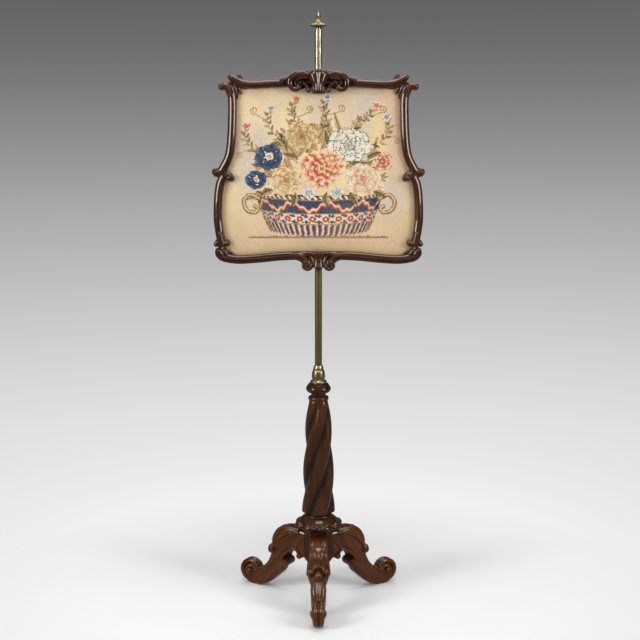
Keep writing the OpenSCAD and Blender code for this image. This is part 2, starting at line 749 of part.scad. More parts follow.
// Turn buttons round the back: place on the frame and direction towards the panel
function button_places() = let (s = stile_w / 2 + 1, r = rail_w / 2 + 1) [
    [half_top + 1 + s, sight_h - 83, 180], [half_low + s, waist_h - 80, 180],
    [half_top - 70, sight_h - 6 + r, -90], [half_low - 90, -7 - r, 90]
];

module at_buttons() {
    for (p = button_places())
        translate([p[0], -frame_back, sight_z + p[1]]) rotate([0, -p[2], 0]) rotate([-90, 0, 0]) children();
}

module turn_buttons() {
    reach = button_len - button_w / 2;
    color(brass) both_sides() at_buttons() difference() {
        linear_extrude(button_t) {
            circle(button_w / 2, $fn = 32);
            translate([0, -button_w / 2]) square([reach - button_w / 2, button_w]);
            translate([reach - button_w / 2, 0]) circle(button_w / 2, $fn = 32);
        }
        translate([0, 0, -1]) cylinder(r = screw_d / 2 + run_fit, h = button_t + 2, $fn = 24);
    }
}

module screw(head_z, grow = 0) {
    if (grow == 0) translate([0, 0, head_z]) difference() {
        cylinder(r1 = screw_head_d / 2, r2 = screw_head_d / 2 - 0.8, h = 1.4, $fn = 24);
        translate([0, 0, 1.2]) cube([screw_head_d * 2, 0.9, 1], center = true);
    }
    sides = grow == 0 ? 24 : hole_sides;
    translate([0, 0, head_z - screw_len - grow])
        cylinder(r = (screw_d / 2 + grow) / (grow == 0 ? 1 : cos(180 / hole_sides)),
            h = screw_len + grow, $fn = sides);
}

module button_screw_shanks(grow) {
    both_sides() at_buttons() screw(button_t, grow);
}
module button_screws() { color(brass) button_screw_shanks(0); }

// BRACKETS AND CLAMP

module bracket_body(ring_z) {
    ring_low = sight_z + ring_z - ring_h / 2;
    neck_w = 2 * ring_r * 0.8;
    translate([-neck_w / 2, -frame_back, ring_low]) cube([neck_w, frame_back - pole_r / 2, ring_h]);
    translate([0, 0, ring_low]) cylinder(r = ring_r, h = ring_h, $fn = smooth_fn);
    translate([0, -frame_back + plate_t, sight_z + ring_z]) rotate([90, 0, 0])
        linear_extrude(plate_t) hull() for (side = [-1, 1])
            translate([side * (plate_w - ring_h) / 2, 0]) circle(ring_h / 2, $fn = 48);
}

module bracket_holes(ring_z) {
    translate([0, 0, sight_z + ring_z - ring_h])
        cylinder(r = pole_r + run_fit, h = 2 * ring_h, $fn = smooth_fn);
    at_bracket_screws(ring_z) translate([0, 0, -1])
        cylinder(r = screw_d / 2 + run_fit, h = plate_t + 2, $fn = 24);
}

module at_bracket_screws(ring_z) {
    for (side = [-1, 1])
        translate([side * screw_span / 2, -frame_back, sight_z + ring_z]) rotate([-90, 0, 0]) children();
}

module bracket_screw_shanks(grow) {
    for (ring_z = [upper_ring_z, lower_ring_z]) at_bracket_screws(ring_z) screw(plate_t, grow);
}
module bracket_screws() { color(brass) bracket_screw_shanks(0); }

module upper_bracket() {
    color(brass) difference() {
        bracket_body(upper_ring_z);
        bracket_holes(upper_ring_z);
    }
}

// Places along the clamp's axis, from the pole outwards
pad_y = pole_r + pad_gap;
pocket_end = pad_y + pad_t + pad_travel + pad_gap;
boss_end = max(ring_r + boss_len, pocket_end + thumb_d / 2);
thumb_y = pad_y + pad_t + run_fit;

module at_clamp(y) {
    translate([0, y, sight_z + lower_ring_z]) rotate([-90, 0, 0]) children();
}

module lower_bracket() {
    color(brass) difference() {
        union() {
            bracket_body(lower_ring_z);
            at_clamp(pole_r) cylinder(r = boss_r, h = boss_end - pole_r, $fn = 48);
        }
        bracket_holes(lower_ring_z);
        at_clamp(0) cylinder(r = pad_r + run_fit, h = pocket_end, $fn = 48);
        at_clamp(0) cylinder(r = thumb_d / 2 + run_fit, h = boss_end + 1, $fn = 48);
    }
}

module clamp_pad() {
    color(brass) at_clamp(pad_y) cylinder(r = pad_r, h = pad_t, $fn = 48);
}

wing_gap = 1.5;
collar_h = 3;
module thumbscrew() {
    collar_y = boss_end + wing_gap;
    color(brass) {
        at_clamp(thumb_y) cylinder(r = thumb_d / 2, h = collar_y - thumb_y + eps, $fn = 48);
        at_clamp(collar_y) cylinder(r = thumb_d / 2 + 2, h = collar_h, $fn = 48);
        at_clamp(collar_y + collar_h - 0.5) rotate([90, 0, 0])
            translate([0, 0, -wing_t / 2]) linear_extrude(wing_t) hull() {
                translate([-thumb_d / 2, 0]) square([thumb_d, 1]);
                for (side = [-1, 1])
                    translate([side * (wing_w / 2 - wing_w / 5), wing_w / 3]) circle(wing_w / 5, $fn = 48);
            }
    }
}

leg_front();
leg_right();
leg_left();
hub();
dome();
column();
knop();
ferrule();
pole();
finial();
top_rail();
bottom_rail();
left_stile();
right_stile();
corner_dowels();
crest();
apron();
needlework();
mount_board();
back_cloth();
turn_buttons();
button_screws();
upper_bracket();
lower_bracket();
bracket_screws();
clamp_pad();
thumbscrew();
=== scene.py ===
"""Looks of the carved pole screen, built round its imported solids.

Lengths are millimetres in the solids' frame until a mesh is made: x runs to the right of
someone who faces the screen, -y to the front and z up from the floor.
"""
import math

import bmesh
import bpy
import numpy as np
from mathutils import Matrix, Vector


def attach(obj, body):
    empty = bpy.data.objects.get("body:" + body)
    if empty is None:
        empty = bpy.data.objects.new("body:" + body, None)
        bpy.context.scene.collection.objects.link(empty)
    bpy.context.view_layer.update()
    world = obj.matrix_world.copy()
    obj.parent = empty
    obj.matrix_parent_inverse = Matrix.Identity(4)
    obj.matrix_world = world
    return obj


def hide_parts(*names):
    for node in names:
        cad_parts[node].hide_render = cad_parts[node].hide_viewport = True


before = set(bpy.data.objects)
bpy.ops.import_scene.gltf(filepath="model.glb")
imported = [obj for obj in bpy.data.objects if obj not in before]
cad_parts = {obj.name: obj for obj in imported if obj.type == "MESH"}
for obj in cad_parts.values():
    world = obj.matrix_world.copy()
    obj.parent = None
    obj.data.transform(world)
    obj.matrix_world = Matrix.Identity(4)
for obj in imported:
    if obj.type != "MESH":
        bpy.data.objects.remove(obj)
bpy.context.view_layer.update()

MM = 0.001
TAU = 2 * math.pi
SIDES = (-1, 1)
MIRROR = np.array([-1, 1, 1])
FAR = 1e9


# CURVES AND MESH PARTS
# A part is a pair: an array of points and a list of faces.

CAP_ANGLES = np.radians([80, 55, 28])
RELIEF_ROUNDS = 7
RELIEF_FULL = 1.1


def curve(points, steps):
    """A smooth curve through all the rows of points, with steps between two of them."""
    p = np.asarray(points, float)
    last = len(p) - 1
    rows = []
    for i in range(last):
        a, b, c, d = p[max(i - 1, 0)], p[i], p[i + 1], p[min(i + 2, last)]
        for t in np.arange(steps) / steps:
            rows.append((2 * b + (c - a) * t + (2 * a - 5 * b + 4 * c - d) * t * t
                         + (3 * b - a - 3 * c + d) * t ** 3) / 2)
    return np.array(rows + [p[last]])


def unit(rows):
    return rows / np.linalg.norm(rows, axis=1)[:, None]


def tangents(path):
    return unit(np.gradient(path, axis=0))


def left_of(ways):
    return np.c_[-ways[:, 1], ways[:, 0]]


def circle(sides):
    """Cosines and sines of even steps round a circle."""
    a = np.linspace(0, TAU, sides, endpoint=False)
    return np.cos(a), np.sin(a)


def swing(degrees):
    """Cosine and sine of an angle."""
    return math.cos(math.radians(degrees)), math.sin(math.radians(degrees))


def change(steps, first, middle, last):
    """Numbers that run evenly through three values."""
    return np.interp(np.linspace(0, 1, steps), [0, 0.5, 1], [first, middle, last])


def skin(rings, caps=True):
    """A skin over rings of points, closed by caps at both ends."""
    rings = np.asarray(rings, float)
    m, n, _ = rings.shape
    faces = [(i + j, i + (j + 1) % n, i + n + (j + 1) % n, i + n + j)
             for i in range(0, (m - 1) * n, n) for j in range(n)]
    if caps:
        faces += [tuple(range(n))[::-1], tuple(range((m - 1) * n, m * n))]
    return rings.reshape(-1, 3), faces


def tube(path, radius, sides):
    """A tube along a path with round ends; its radius may change along it."""
    along = tangents(path)
    side = np.cross(along[0], [0.31, 0.52, 0.8])
    rows = []
    for p, r, t in zip(path, np.broadcast_to(radius, len(path)), along):
        side = side - t * side.dot(t)
        side /= np.linalg.norm(side)
        rows.append((p, r, t, side, np.cross(t, side)))

    def cap(row, a):
        p, r, t, u, v = row
        return p + t * r * math.sin(a), r * math.cos(a), t, u, v

    first = [cap(rows[0], -a) for a in CAP_ANGLES]
    last = [cap(rows[-1], a) for a in CAP_ANGLES[::-1]]
    c, s = circle(sides)
    rows = first + rows + last
    return skin([p + r * (np.outer(c, u) + np.outer(s, v)) for p, r, _, u, v in rows])


def lathe(outline, sides, caps=True):
    """A turned part from its outline of radius and height."""
    c, s = circle(sides)
    return skin([np.c_[r * c, r * s, np.full(sides, z)] for r, z in outline], caps)


def ball(at, radii, steps):
    """An ellipsoid with its three half sizes."""
    points, faces = lathe(map(swing, np.linspace(-88, 88, steps // 2 + 1)), steps)
    return points * radii + at, faces


def spiral(centre, r0, r1, start_deg, turns, steps):
    """Points of a flat spiral from radius r0 to r1; negative turns run clockwise."""
    t = np.linspace(0, 1, steps)
    a = math.radians(start_deg) + TAU * turns * t
    r = r0 + (r1 - r0) * t ** 0.85
    return np.c_[centre[0] + r * np.cos(a), centre[1] + r * np.sin(a)]


def turned(points, degrees):
    """Points turned about the pole's axis."""
    c, s = swing(degrees)
    x, y, z = points.T
    return np.c_[x * c - y * s, x * s + y * c, z]


def mirrored(parts):
    return [(points * MIRROR, [f[::-1] for f in faces]) for points, faces in parts]


def both(parts):
    return parts + mirrored(parts)


def link(name, data):
    """A new object in the scene."""
    piece = bpy.data.objects.new(name, data)
    bpy.context.scene.collection.objects.link(piece)
    return piece


def mesh_object(name, parts):
    """One object from parts given in millimetres."""
    points, faces, base = [], [], 0
    for p, f in parts:
        points.append(p)
        faces += [tuple(i + base for i in face) for face in f]
        base += len(p)
    mesh = bpy.data.meshes.new(name)
    mesh.from_pydata((np.concatenate(points) * MM).tolist(), [], faces)
    mesh.update()
    return link(name, mesh)


def read(rows, name, width=3, kind=float):
    """One property of all vertices or edges of a mesh."""
    values = np.empty(len(rows) * width, kind)
    rows.foreach_get(name, values)
    return values.reshape(-1, width)


def read_points(mesh):
    return read(mesh.vertices, "co") / MM


def write_points(mesh, points):
    mesh.vertices.foreach_set("co", (points * MM).ravel())
    mesh.update()


def add_attribute(mesh, name, kind, values, domain="POINT"):
    field = {"FLOAT": "value", "FLOAT_VECTOR": "vector", "FLOAT_COLOR": "color"}[kind]
    attribute = mesh.attributes.new(name, kind, domain)
    attribute.data.foreach_set(field, np.ascontiguousarray(values, np.float32).ravel())


def mark_relief(piece):
    """Stores how far points stand out of the smoothed surface: edges near 1, hollows near 0."""
    mesh = piece.data
    points = read_points(mesh)
    a, b = read(mesh.edges, "vertices", 2, np.int64).T
    n = len(points)
    count = np.maximum(np.bincount(a, minlength=n) + np.bincount(b, minlength=n), 1)[:, None]
    smooth = points.copy()
    for _ in range(RELIEF_ROUNDS):
        smooth = np.stack([np.bincount(a, smooth[b, k], n) + np.bincount(b, smooth[a, k], n)
                           for k in range(3)], 1) / count
    out = ((points - smooth) * read(mesh.vertices, "normal")).sum(1)
    add_attribute(mesh, "relief", "FLOAT", 0.5 + 0.5 * np.clip(out / RELIEF_FULL, -1, 1))


def fuse(piece, voxel, soften):
    """Fuses overlapping parts into one carved surface and rounds its edges."""
    remesh = piece.modifiers.new("fuse", "REMESH")
    remesh.mode = "VOXEL"
    remesh.voxel_size = voxel * MM
    rounding = piece.modifiers.new("soften", "SMOOTH")
    rounding.factor = 0.5
    rounding.iterations = soften
    shaped = piece.evaluated_get(bpy.context.evaluated_depsgraph_get())
    fused = bpy.data.meshes.new_from_object(shaped)
    piece.modifiers.clear()
    old = piece.data
    piece.data = fused
    fused.name = piece.name
    bpy.data.meshes.remove(old)


def cut(piece, point, normal):
    """Removes what lies beyond a plane, and closes the cut."""
    work = bmesh.new()
    work.from_mesh(piece.data)
    found = bmesh.ops.bisect_plane(work, geom=work.verts[:] + work.edges[:] + work.faces[:],
                                   plane_co=Vector(point) * MM, plane_no=Vector(normal),
                                   clear_outer=True)
    edges = [e for e in found["geom_cut"] if isinstance(e, bmesh.types.BMEdge)]
    bmesh.ops.holes_fill(work, edges=edges)
    work.to_mesh(piece.data)
    work.free()


def coat(piece, material):
    """Gives a piece its material and smooth faces."""
    piece.data.materials.clear()
    piece.data.materials.append(material)
    piece.data.polygons.foreach_set("use_smooth", [True] * len(piece.data.polygons))
    piece.data.update()


def settle(piece, node, body, material):
    """Puts a finished piece in the place of its solid."""
    coat(piece, material)
    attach(piece, body)
    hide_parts(node)


def settle_wood(piece, node, body, material, grain, offset):
    """Stores where each point lies in the timber, first along the grain, and settles the piece."""
    axis = np.asarray(grain, float) / np.linalg.norm(grain)
    across = np.cross(axis, [0, 1, 0.01])
    across /= np.linalg.norm(across)
    points = read_points(piece.data) * MM
    timber = np.c_[points @ axis, points @ across, points @ np.cross(axis, across)] + offset
    add_attribute(piece.data, "grain", "FLOAT_VECTOR", timber)
    settle(piece, node, body, material)


# MATERIALS
# Colours are given as 0 to 255.

def srgb(r, g, b):
    """A colour made linear."""
    c = np.array([r, g, b]) / 255
    return tuple(np.where(c <= 0.04045, c / 12.92, ((c + 0.055) / 1.055) ** 2.4)) + (1.0,)


class Shader:
    """A material under construction; what adds a node gives its output."""

    def __init__(self, name):
        self.material = bpy.data.materials.new(name)
        self.material.use_nodes = True
        self.tree = self.material.node_tree
        self.surface = self.tree.nodes["Principled BSDF"]

    def feed(self, socket, value):
        if isinstance(value, bpy.types.NodeSocket):
            self.tree.links.new(value, socket)
        else:
            socket.default_value = value

    def add(self, kind, inputs, output, **settings):
        node = self.tree.nodes.new("ShaderNode" + kind)
        for key, value in settings.items():
            setattr(node, key, value)
        for key, value in inputs.items():
            self.feed(node.inputs[key], value)
        return node.outputs[output]

    def set(self, **values):
        for key, value in values.items():
            self.feed(self.surface.inputs[key.replace("_", " ")], value)

    def show(self, shader):
        self.feed(self.tree.nodes["Material Output"].inputs["Surface"], shader)

    def place(self):
        return self.add("TexCoord", {}, "Object")

    def axis(self, name):
        return self.add("SeparateXYZ", {"Vector": self.place()}, name)

    def attribute(self, name, output):
        return self.add("Attribute", {}, output, attribute_name=name)

    def tilted(self, degrees):
        """The place, turned about y."""
        turn = (0, math.radians(degrees), 0)
        return self.add("VectorRotate", {"Vector": self.place(), "Rotation": turn}, "Vector",
                        rotation_type="EULER_XYZ")

    def noise(self, vector, scale, detail, distortion=0.0):
        """Noise at one scale, or at a scale for each axis."""
        if np.ndim(scale):
            vector, scale = self.add("Mapping", {"Vector": vector, "Scale": scale}, "Vector"), 1.0
        return self.add("TexNoise", {"Vector": vector, "Scale": scale, "Detail": detail,
                                     "Roughness": 0.55, "Distortion": distortion}, "Fac")

    def ramp(self, value, *stops):
        output = self.add("ValToRGB", {"Fac": value}, "Color")
        elements = output.node.color_ramp.elements
        while len(elements) < len(stops):
            elements.new(0.5)
        for element, (place, colour) in zip(elements, stops):
            element.position = place
            element.color = colour if np.ndim(colour) else (colour, colour, colour, 1)
        return output

    def mix(self, factor, a, b):
        return self.add("Mix", {"Factor": factor, 6: a, 7: b}, 2, data_type="RGBA")

    def math(self, operation, a, b=0.0):
        return self.add("Math", {0: a, 1: b}, 0, operation=operation)

    def times(self, a, b):
        return self.math("MULTIPLY", a, b)

    def share(self, a, part, b):
        """A part of a, and for the rest b."""
        return self.math("ADD", self.times(a, part), self.times(b, 1 - part))

    def bump(self, height, strength, distance, **below):
        inputs = {"Height": height, "Strength": strength, "Distance": distance, **below}
        return self.add("Bump", inputs, "Normal")


def wood_material(name, dark, mid, light, polish, carved=True):
    """Polished timber with streaks and pores; carving has painted shade in its hollows and worn
    edges.
    """
    s = Shader(name)
    dark, mid, light = srgb(*dark), srgb(*mid), srgb(*light)
    timber = s.attribute("grain", "Vector") if carved else s.tilted(90)
    streaks = s.noise(timber, (6, 130, 130), 6.0, 0.7)
    clouds = s.noise(timber, (4, 12, 12), 2.0)
    pores = s.noise(timber, (75, 1500, 1500), 2.0)
    colour = s.ramp(s.share(streaks, 0.65, clouds), (0.3, dark), (0.5, mid), (0.72, light))
    colour = s.mix(s.times(s.ramp(pores, (0.34, 1.0), (0.44, 0.0)), 0.4), colour, dark)
    rough = s.ramp(clouds, (0.3, polish), (0.7, polish + 0.08))
    if carved:
        relief = s.attribute("relief", "Fac")
        # painted shade goes in the hollows of the carving; they are also made rougher
        shaded_hollow = s.ramp(relief, (0.2, 1.0), (0.485, 0.0))
        edge = s.ramp(relief, (0.58, 0.0), (0.95, 1.0))
        worn = tuple(np.minimum(np.array(light[:3]) * 1.6, 1)) + (1.0,)
        rubbed = s.ramp(streaks, (0.35, 0.08), (0.65, 0.28))
        colour = s.mix(s.times(edge, rubbed), colour, worn)
        # painted shade: darkens the hollows towards a near black brown
        colour = s.mix(s.times(shaded_hollow, 0.9), colour, srgb(14, 7, 4))
        rough = s.mix(shaded_hollow, rough, (polish + 0.3,) * 3 + (1.0,))
    s.set(Base_Color=colour, Roughness=rough, Specular_IOR_Level=0.26,
          Specular_Tint=(1.0, 0.8, 0.62, 1.0), Coat_Weight=0.75, Coat_Roughness=0.07,
          Normal=s.bump(pores, 0.03, 0.0002, Normal=s.bump(streaks, 0.012, 0.0008)))
    return s.material


def brass_material(name, bright, tarnish, rough, shade_below=None):
    """Aged brass: tarnish in patches, painted shade as darker tarnish below a height, fine
    scratches and uneven polish.
    """
    s = Shader(name)
    patches = s.noise(s.place(), 38.0, 5.0, 0.6)
    specks = s.noise(s.place(), 420.0, 3.0)
    scratches = s.noise(s.place(), (900, 900, 60), 2.0)
    old = s.ramp(s.share(patches, 0.75, specks), (0.42, 0.0), (0.7, 0.75))
    # painted shade: below the given height the tarnish colour takes over the lower part
    if shade_below:
        low_shade = s.ramp(s.axis("Z"), (shade_below, 0.9), (shade_below + 0.1, 0.0))
        old = s.math("MAXIMUM", old, low_shade)
    s.set(Base_Color=s.mix(old, srgb(*bright), srgb(*tarnish)), Metallic=1.0,
          Roughness=s.ramp(s.share(old, 0.6, scratches), (0.2, rough), (0.8, rough + 0.2)),
          Normal=s.bump(scratches, 0.03, 0.0001, Normal=s.bump(specks, 0.03, 0.0001)))
    return s.material


walnut = wood_material("walnut", (31, 11, 2), (57, 26, 5), (92, 46, 14), 0.26)
leg_walnut = wood_material("leg_walnut", (46, 20, 4), (82, 42, 10), (116, 65, 24), 0.27)
column_walnut = wood_material("column_walnut", (34, 14, 3), (60, 30, 6), (86, 48, 16), 0.26)
turned_walnut = wood_material("turned_walnut", (30, 14, 5), (52, 28, 10), (78, 46, 20), 0.24, False)
plain_wood = wood_material("plain_wood", (96, 66, 40), (128, 92, 58), (156, 118, 78), 0.5, False)
brass = brass_material("brass", (176, 162, 122), (126, 108, 64), 0.3)
# the pole gets painted shade below 0.9 m
pole_brass = brass_material("pole_brass", (182, 175, 149), (116, 98, 52), 0.32, 0.9)


# STAND
# A leg's side view is given as the distance from the pole's axis and the height.

HUB_R = 37
LEG_ROOT_R = 31.15
LEG_TOP = 179
LEG_HALF = 21
ANKLE_HALF = 15.5
TOE_HALF = 14
FOOT = np.array([207, 36])
FOOT_R = 32
FOOT_EYE_HALF = 22
EAR = np.array([95, 79])
EAR_R = 11.5
EAR_HALF = 22
RIM_PROUD = 8.5
RIM_R = 4.5
WEB_HALF = 2.4
CAP_PROUD = 2.6
KNEE = np.array([141.5, 111])
KNEE_R = 14
KNEE_HALF = 12.5
KNEE_END = KNEE + [-10, 1]
KNEE_END_R = 10
KNEE_REACH = 31
LEG_AZIMUTHS = {"leg_front": -90, "leg_right": 30, "leg_left": 150}
ROW_STEPS = 6
DRUM_SIDES = 48


def leg_rows():
    """Rows of a leg as in the solids: top edge, under edge and half the thickness."""
    root = [[LEG_ROOT_R, LEG_TOP - 3, LEG_ROOT_R, LEG_TOP - 79]]
    knee = [(22, -1, 13, -75), (50, 0, 24, -61.5), (72, -6, 38, -63), (88, -21, 53, -77),
            (95, -41, 61, -92), (96, -66, 62, -107)]
    foot = [(-67, 57, -103, 15), (-56, 35, -87, -1), (-41, 18, -68, -18), (-26, 11, -47, -29),
            (-12, 8, -22, -36.5), (0, 2, 0, -36.5), (6, 0, 16, -27)]
    taper = [LEG_HALF + (ANKLE_HALF - LEG_HALF) * t for t in (0.1, 0.25, 0.5, 0.8, 1)]
    edges = np.r_[root, np.add(knee, [HUB_R, LEG_TOP] * 2), np.add(foot, [*FOOT, *FOOT])]
    return np.c_[edges, [LEG_HALF] * 6 + taper + [TOE_HALF] * 3]


def part_of(rows, first, last):
    return rows[round(first * ROW_STEPS):round(last * ROW_STEPS) + 1]


def drum(at, r, half, edge, shift=0.0):
    """A rounded roll across the leg, at a place in its side view."""
    outline = [(0.5, -half), (r - edge, -half)]
    for c, s in map(swing, (25, 50, 75, 90)):
        outline.append((r - edge + edge * s, -half + edge - edge * c))
    outline.append((r, 0.0))
    outline += [(x, -y) for x, y in outline[-2::-1]]
    points, faces = lathe(outline, DRUM_SIDES)
    return points[:, [0, 2, 1]] + [at[0], shift, at[1]], faces


def side_view(flat, lateral):
    """Points of a side view, with their place across the leg."""
    return np.c_[flat[:, 0], np.broadcast_to(lateral, len(flat)), flat[:, 1]]


def pair(flat, half, radius, sides):
    """A tube on either side of the leg, along points of its side view."""
    return [tube(side_view(flat, side * half), radius, sides) for side in SIDES]


def edges_of(rows):
    """The top edge, the under edge and the direction from the second to the first."""
    return rows[:, :2], rows[:, 2:4], unit(rows[:, :2] - rows[:, 2:4])


def leg_body(rows):
    across, up = (np.sign(v) * np.abs(v) ** 0.45 for v in circle(52))
    rings = []
    for row in rows:
        top, low, half = row[:2], row[2:4], row[4]
        rings.append(side_view((top + low) / 2 + np.outer(up, (top - low) / 2), half * across))
    return skin(rings)


# How far the leaf hangs down the side, along the rows of the leg; it hooks once near the hub
CAP_DROP = np.array([(0.6, 9), (1.0, 12), (1.16, 17), (1.3, 25), (1.42, 19), (1.6, 15.5), (2.2, 21),
                     (3.0, 25), (4.0, 24), (4.7, 19), (5.1, 12)])


def leaf_cap(rows):
    """The leaf over the knee: thick at its edge, two lobes on top and a line along its sides."""
    place = np.arange(len(rows)) / ROW_STEPS
    pick = (place >= CAP_DROP[0, 0]) & (place <= CAP_DROP[-1, 0])
    rows, place = rows[pick], place[pick]
    drop = np.interp(place, *CAP_DROP.T)
    top, _, up = edges_of(rows)
    half = rows[:, 4] + CAP_PROUD
    rings = []
    for p, d, n, fall in zip(top, half, up, drop):
        section = [(-d + 0.8, -fall), (-d - 0.3, -fall + 2), (-d - 0.2, -fall * 0.5),
                   (-d + 0.5, -5), (-d * 0.86, -1.2), (-d * 0.6, 0.5), (0, 0.8)]
        section += [(-u, v) for u, v in section[-2::-1]]
        section += [(d - 6, -fall), (d - 6, -9), (6 - d, -9), (6 - d, -fall)]
        rings.append([(p[0] + n[0] * v, u, p[1] + n[1] * v) for u, v in section])
    line = (place > 3.0) & (place < 5.0)
    crease = top[line] - up[line] * 11.0
    parts = [skin(rings)] + pair(top - up * (drop - 1.6)[:, None], half - 1.0, 2.4, 10)
    parts += pair(crease, half[line] - 0.4, np.linspace(0.8, 1.9, len(crease)), 8)
    for side in SIDES:
        horn = [(24, side * 12, -6.5), (48, side * 11.5, -6.4), (64, side * 11, -10.4),
                (76, side * 10.5, -17.5)]
        horn = curve(np.add(horn, [HUB_R, 0, LEG_TOP]), 6)
        parts.append(tube(horn, change(len(horn), 6, 8.2, 5.5), 16))
    return parts


def on_front(rows, t, lateral, proud):
    """Points on the leg's top and front edge, t from 0 to 1 along the given rows."""
    x = np.clip(t, 0, 1) * (len(rows) - 1)
    i = np.minimum(x.astype(int), len(rows) - 2)
    k = (x - i)[:, None]
    top, _, up = edges_of(rows[i] * (1 - k) + rows[i + 1] * k)
    return side_view(top + up * proud, lateral)


def cartouche(rows):
    """The long oval on the front of the knee: a raised rim, and a boss in its lower half."""
    t = np.linspace(-0.98, 0.98, 25)
    boss = on_front(rows, 0.7 + 0.21 * t, 0.0, -0.6)
    a = np.linspace(0, TAU, 61)
    rim = on_front(rows, 0.56 + 0.42 * np.cos(a), 9.6 * np.sin(a), 0.9)
    return [tube(boss, 6.2 * np.sqrt(1 - t * t), 16), tube(rim, 1.7, 10)]


def foot_volutes():
    """The foot: two rolls side by side, with a deep spiral round a proud eye on either side."""
    turns = spiral(FOOT, 26.6, 6.5, 70, -1.5, 80)
    rise = change(len(turns), TOE_HALF - 5.4, TOE_HALF - 4, FOOT_EYE_HALF - 6.5)
    a = np.linspace(0, TAU, 64)
    ring = FOOT + (FOOT_R - 6) * np.c_[np.cos(a), np.sin(a)]
    ridges = pair(ring, TOE_HALF - 6.4, 6.0, 16)
    ridges += pair(turns, rise, np.linspace(4.6, 4.2, len(turns)), 14)
    eyes = [drum(FOOT, 7.0, 6.5, 3.5, side * (FOOT_EYE_HALF - 8)) for side in SIDES]
    return [drum(FOOT, FOOT_R - 5, 6, 2)] + ridges + eyes


def c_scroll():
    """The C scroll under the knee: a thick rim on both sides of a thinner web."""
    path = curve([(7, 3, 0.4), (2, 20, 1), (-9, 33, 1), (-22, 42, 0.85), (-35.5, 45.5, 0.75),
                  (-44, 40, 0.6), (-48, 28, 0.5)], 8)
    flat = EAR + path[:, :2]
    reach = LEG_HALF + RIM_PROUD * path[:, 2]
    rim = reach - RIM_R
    web = []
    for p, n, w in zip(flat, left_of(tangents(flat)) * WEB_HALF, rim):
        web.append([(x, s, z) for s, (x, z) in ((-w, p - n), (w, p - n), (w, p + n), (-w, p + n))])
    return [skin(web), drum(flat[-1], 8, reach[-1], 4)] + pair(flat, rim, RIM_R, 14)


def ear_roll():
    eye = spiral(EAR, EAR_R - 2.6, 2.5, 60, 1.2, 40)
    return [drum(EAR, EAR_R, EAR_HALF, 3)] + pair(eye, EAR_HALF - 0.6, 1.8, 10)


def knee_scroll():
    """The roll across the knee: a ball under an arch in front, and a scroll at either end."""
    x, z = KNEE
    parts = [ball((x - 1, 0, z - 4), (KNEE_R - 0.5, KNEE_HALF - 1.5, KNEE_R - 2), 32)]
    a = np.radians(np.linspace(-105, 105, 41))
    arch = np.c_[x - 9 + 4 * (1 - np.cos(a)), 13.5 * np.sin(a), z + 5 + 13 * np.cos(a)]
    parts.append(tube(arch, np.interp(np.abs(a), [0, 1, 1.85], [4.2, 3.6, 2.2]), 14))
    eye = spiral(KNEE_END, KNEE_END_R - 4, 2, 120, -1.2, 40)
    for side in SIDES:
        end = (KNEE_END[0], side * (KNEE_REACH - 9), KNEE_END[1])
        parts.append(ball(end, (KNEE_END_R, 8.4, KNEE_END_R + 1), 28))
    return parts + pair(eye, KNEE_REACH - 2.2, 1.8, 10)


def ankle_carving(rows):
    """Twin ribs down the ankle, a pointed lip over the foot, and a line low on either side."""
    t = np.linspace(0, 1, 30)
    width = np.sin(np.pi * (0.1 + 0.85 * t)) ** 0.5
    shin = part_of(rows, 7.2, 10.0)
    parts = [tube(on_front(shin, t, side * 2.7, -0.5), 0.8 + 1.5 * width, 10) for side in SIDES]
    v = np.linspace(-1, 1, 21)
    parts.append(tube(on_front(shin, 0.82 + 0.18 * np.abs(v), 11.5 * v, 0.2), 1.5, 10))
    band = part_of(rows, 6.8, 10.6)
    _, low, up = edges_of(band)
    outer = low + up * np.linspace(7, 5, len(band))[:, None]
    return parts + pair(outer, band[:, 4] - 4.6, 5.6, 16)


def leg_parts():
    rows = curve(leg_rows(), ROW_STEPS)
    return ([leg_body(rows)] + leaf_cap(rows) + cartouche(part_of(rows, 2.0, 5.4)) + foot_volutes()
            + c_scroll() + ear_roll() + knee_scroll() + ankle_carving(rows))


def make_legs():
    """Carves one leg and stands it in its three places."""
    model = mesh_object("leg_model", leg_parts())
    fuse(model, 0.95, 4)
    mark_relief(model)
    carved = read_points(model.data)
    carved[:, 2] = np.maximum(carved[:, 2], 0)
    for k, (node, azimuth) in enumerate(LEG_AZIMUTHS.items()):
        piece = link("carved_" + node, model.data.copy())
        write_points(piece.data, turned(carved, azimuth))
        c, s = swing(azimuth)
        settle_wood(piece, node, "stand", leg_walnut, (0.62 * c, 0.62 * s, -0.78), 0.37 * k)
    bpy.data.objects.remove(model)


DOME_Z = 190
DOME_LOBES = 8
FIRST_LOBE = -95
COLUMN_Z = 226


def make_dome():
    """The dome: a bell with low oval lobes round its rim."""
    bell = curve([(15, DOME_Z), (46, DOME_Z), (50, 190.6), (53, 193), (54, 197), (53.8, 201),
                  (52.6, 205.5), (50, 210), (46, 214.5), (41, 218.5), (37, 221.4), (34.4, 223.4),
                  (33, COLUMN_Z), (15, COLUMN_Z)], 6)
    parts = [lathe(bell, 160)]
    points, faces = ball((51.6, 0, 199), (11.2, 19.4, 9.6), 40)
    for k in range(DOME_LOBES):
        parts.append((turned(points, FIRST_LOBE + 360 / DOME_LOBES * (k + 0.5)), faces))
    piece = mesh_object("lobed_dome", parts)
    fuse(piece, 0.9, 4)
    points = read_points(piece.data)
    points[:, 2] = np.clip(points[:, 2], DOME_Z, COLUMN_Z)
    write_points(piece.data, points)
    mark_relief(piece)
    settle_wood(piece, "dome", "stand", walnut, (1, 0.2, 0), 0.8)


COLUMN_LEN = 312
COLUMN_SIDES = 256
STRANDS = 4
TWIST_PITCH = 484
GROOVE = 0.25


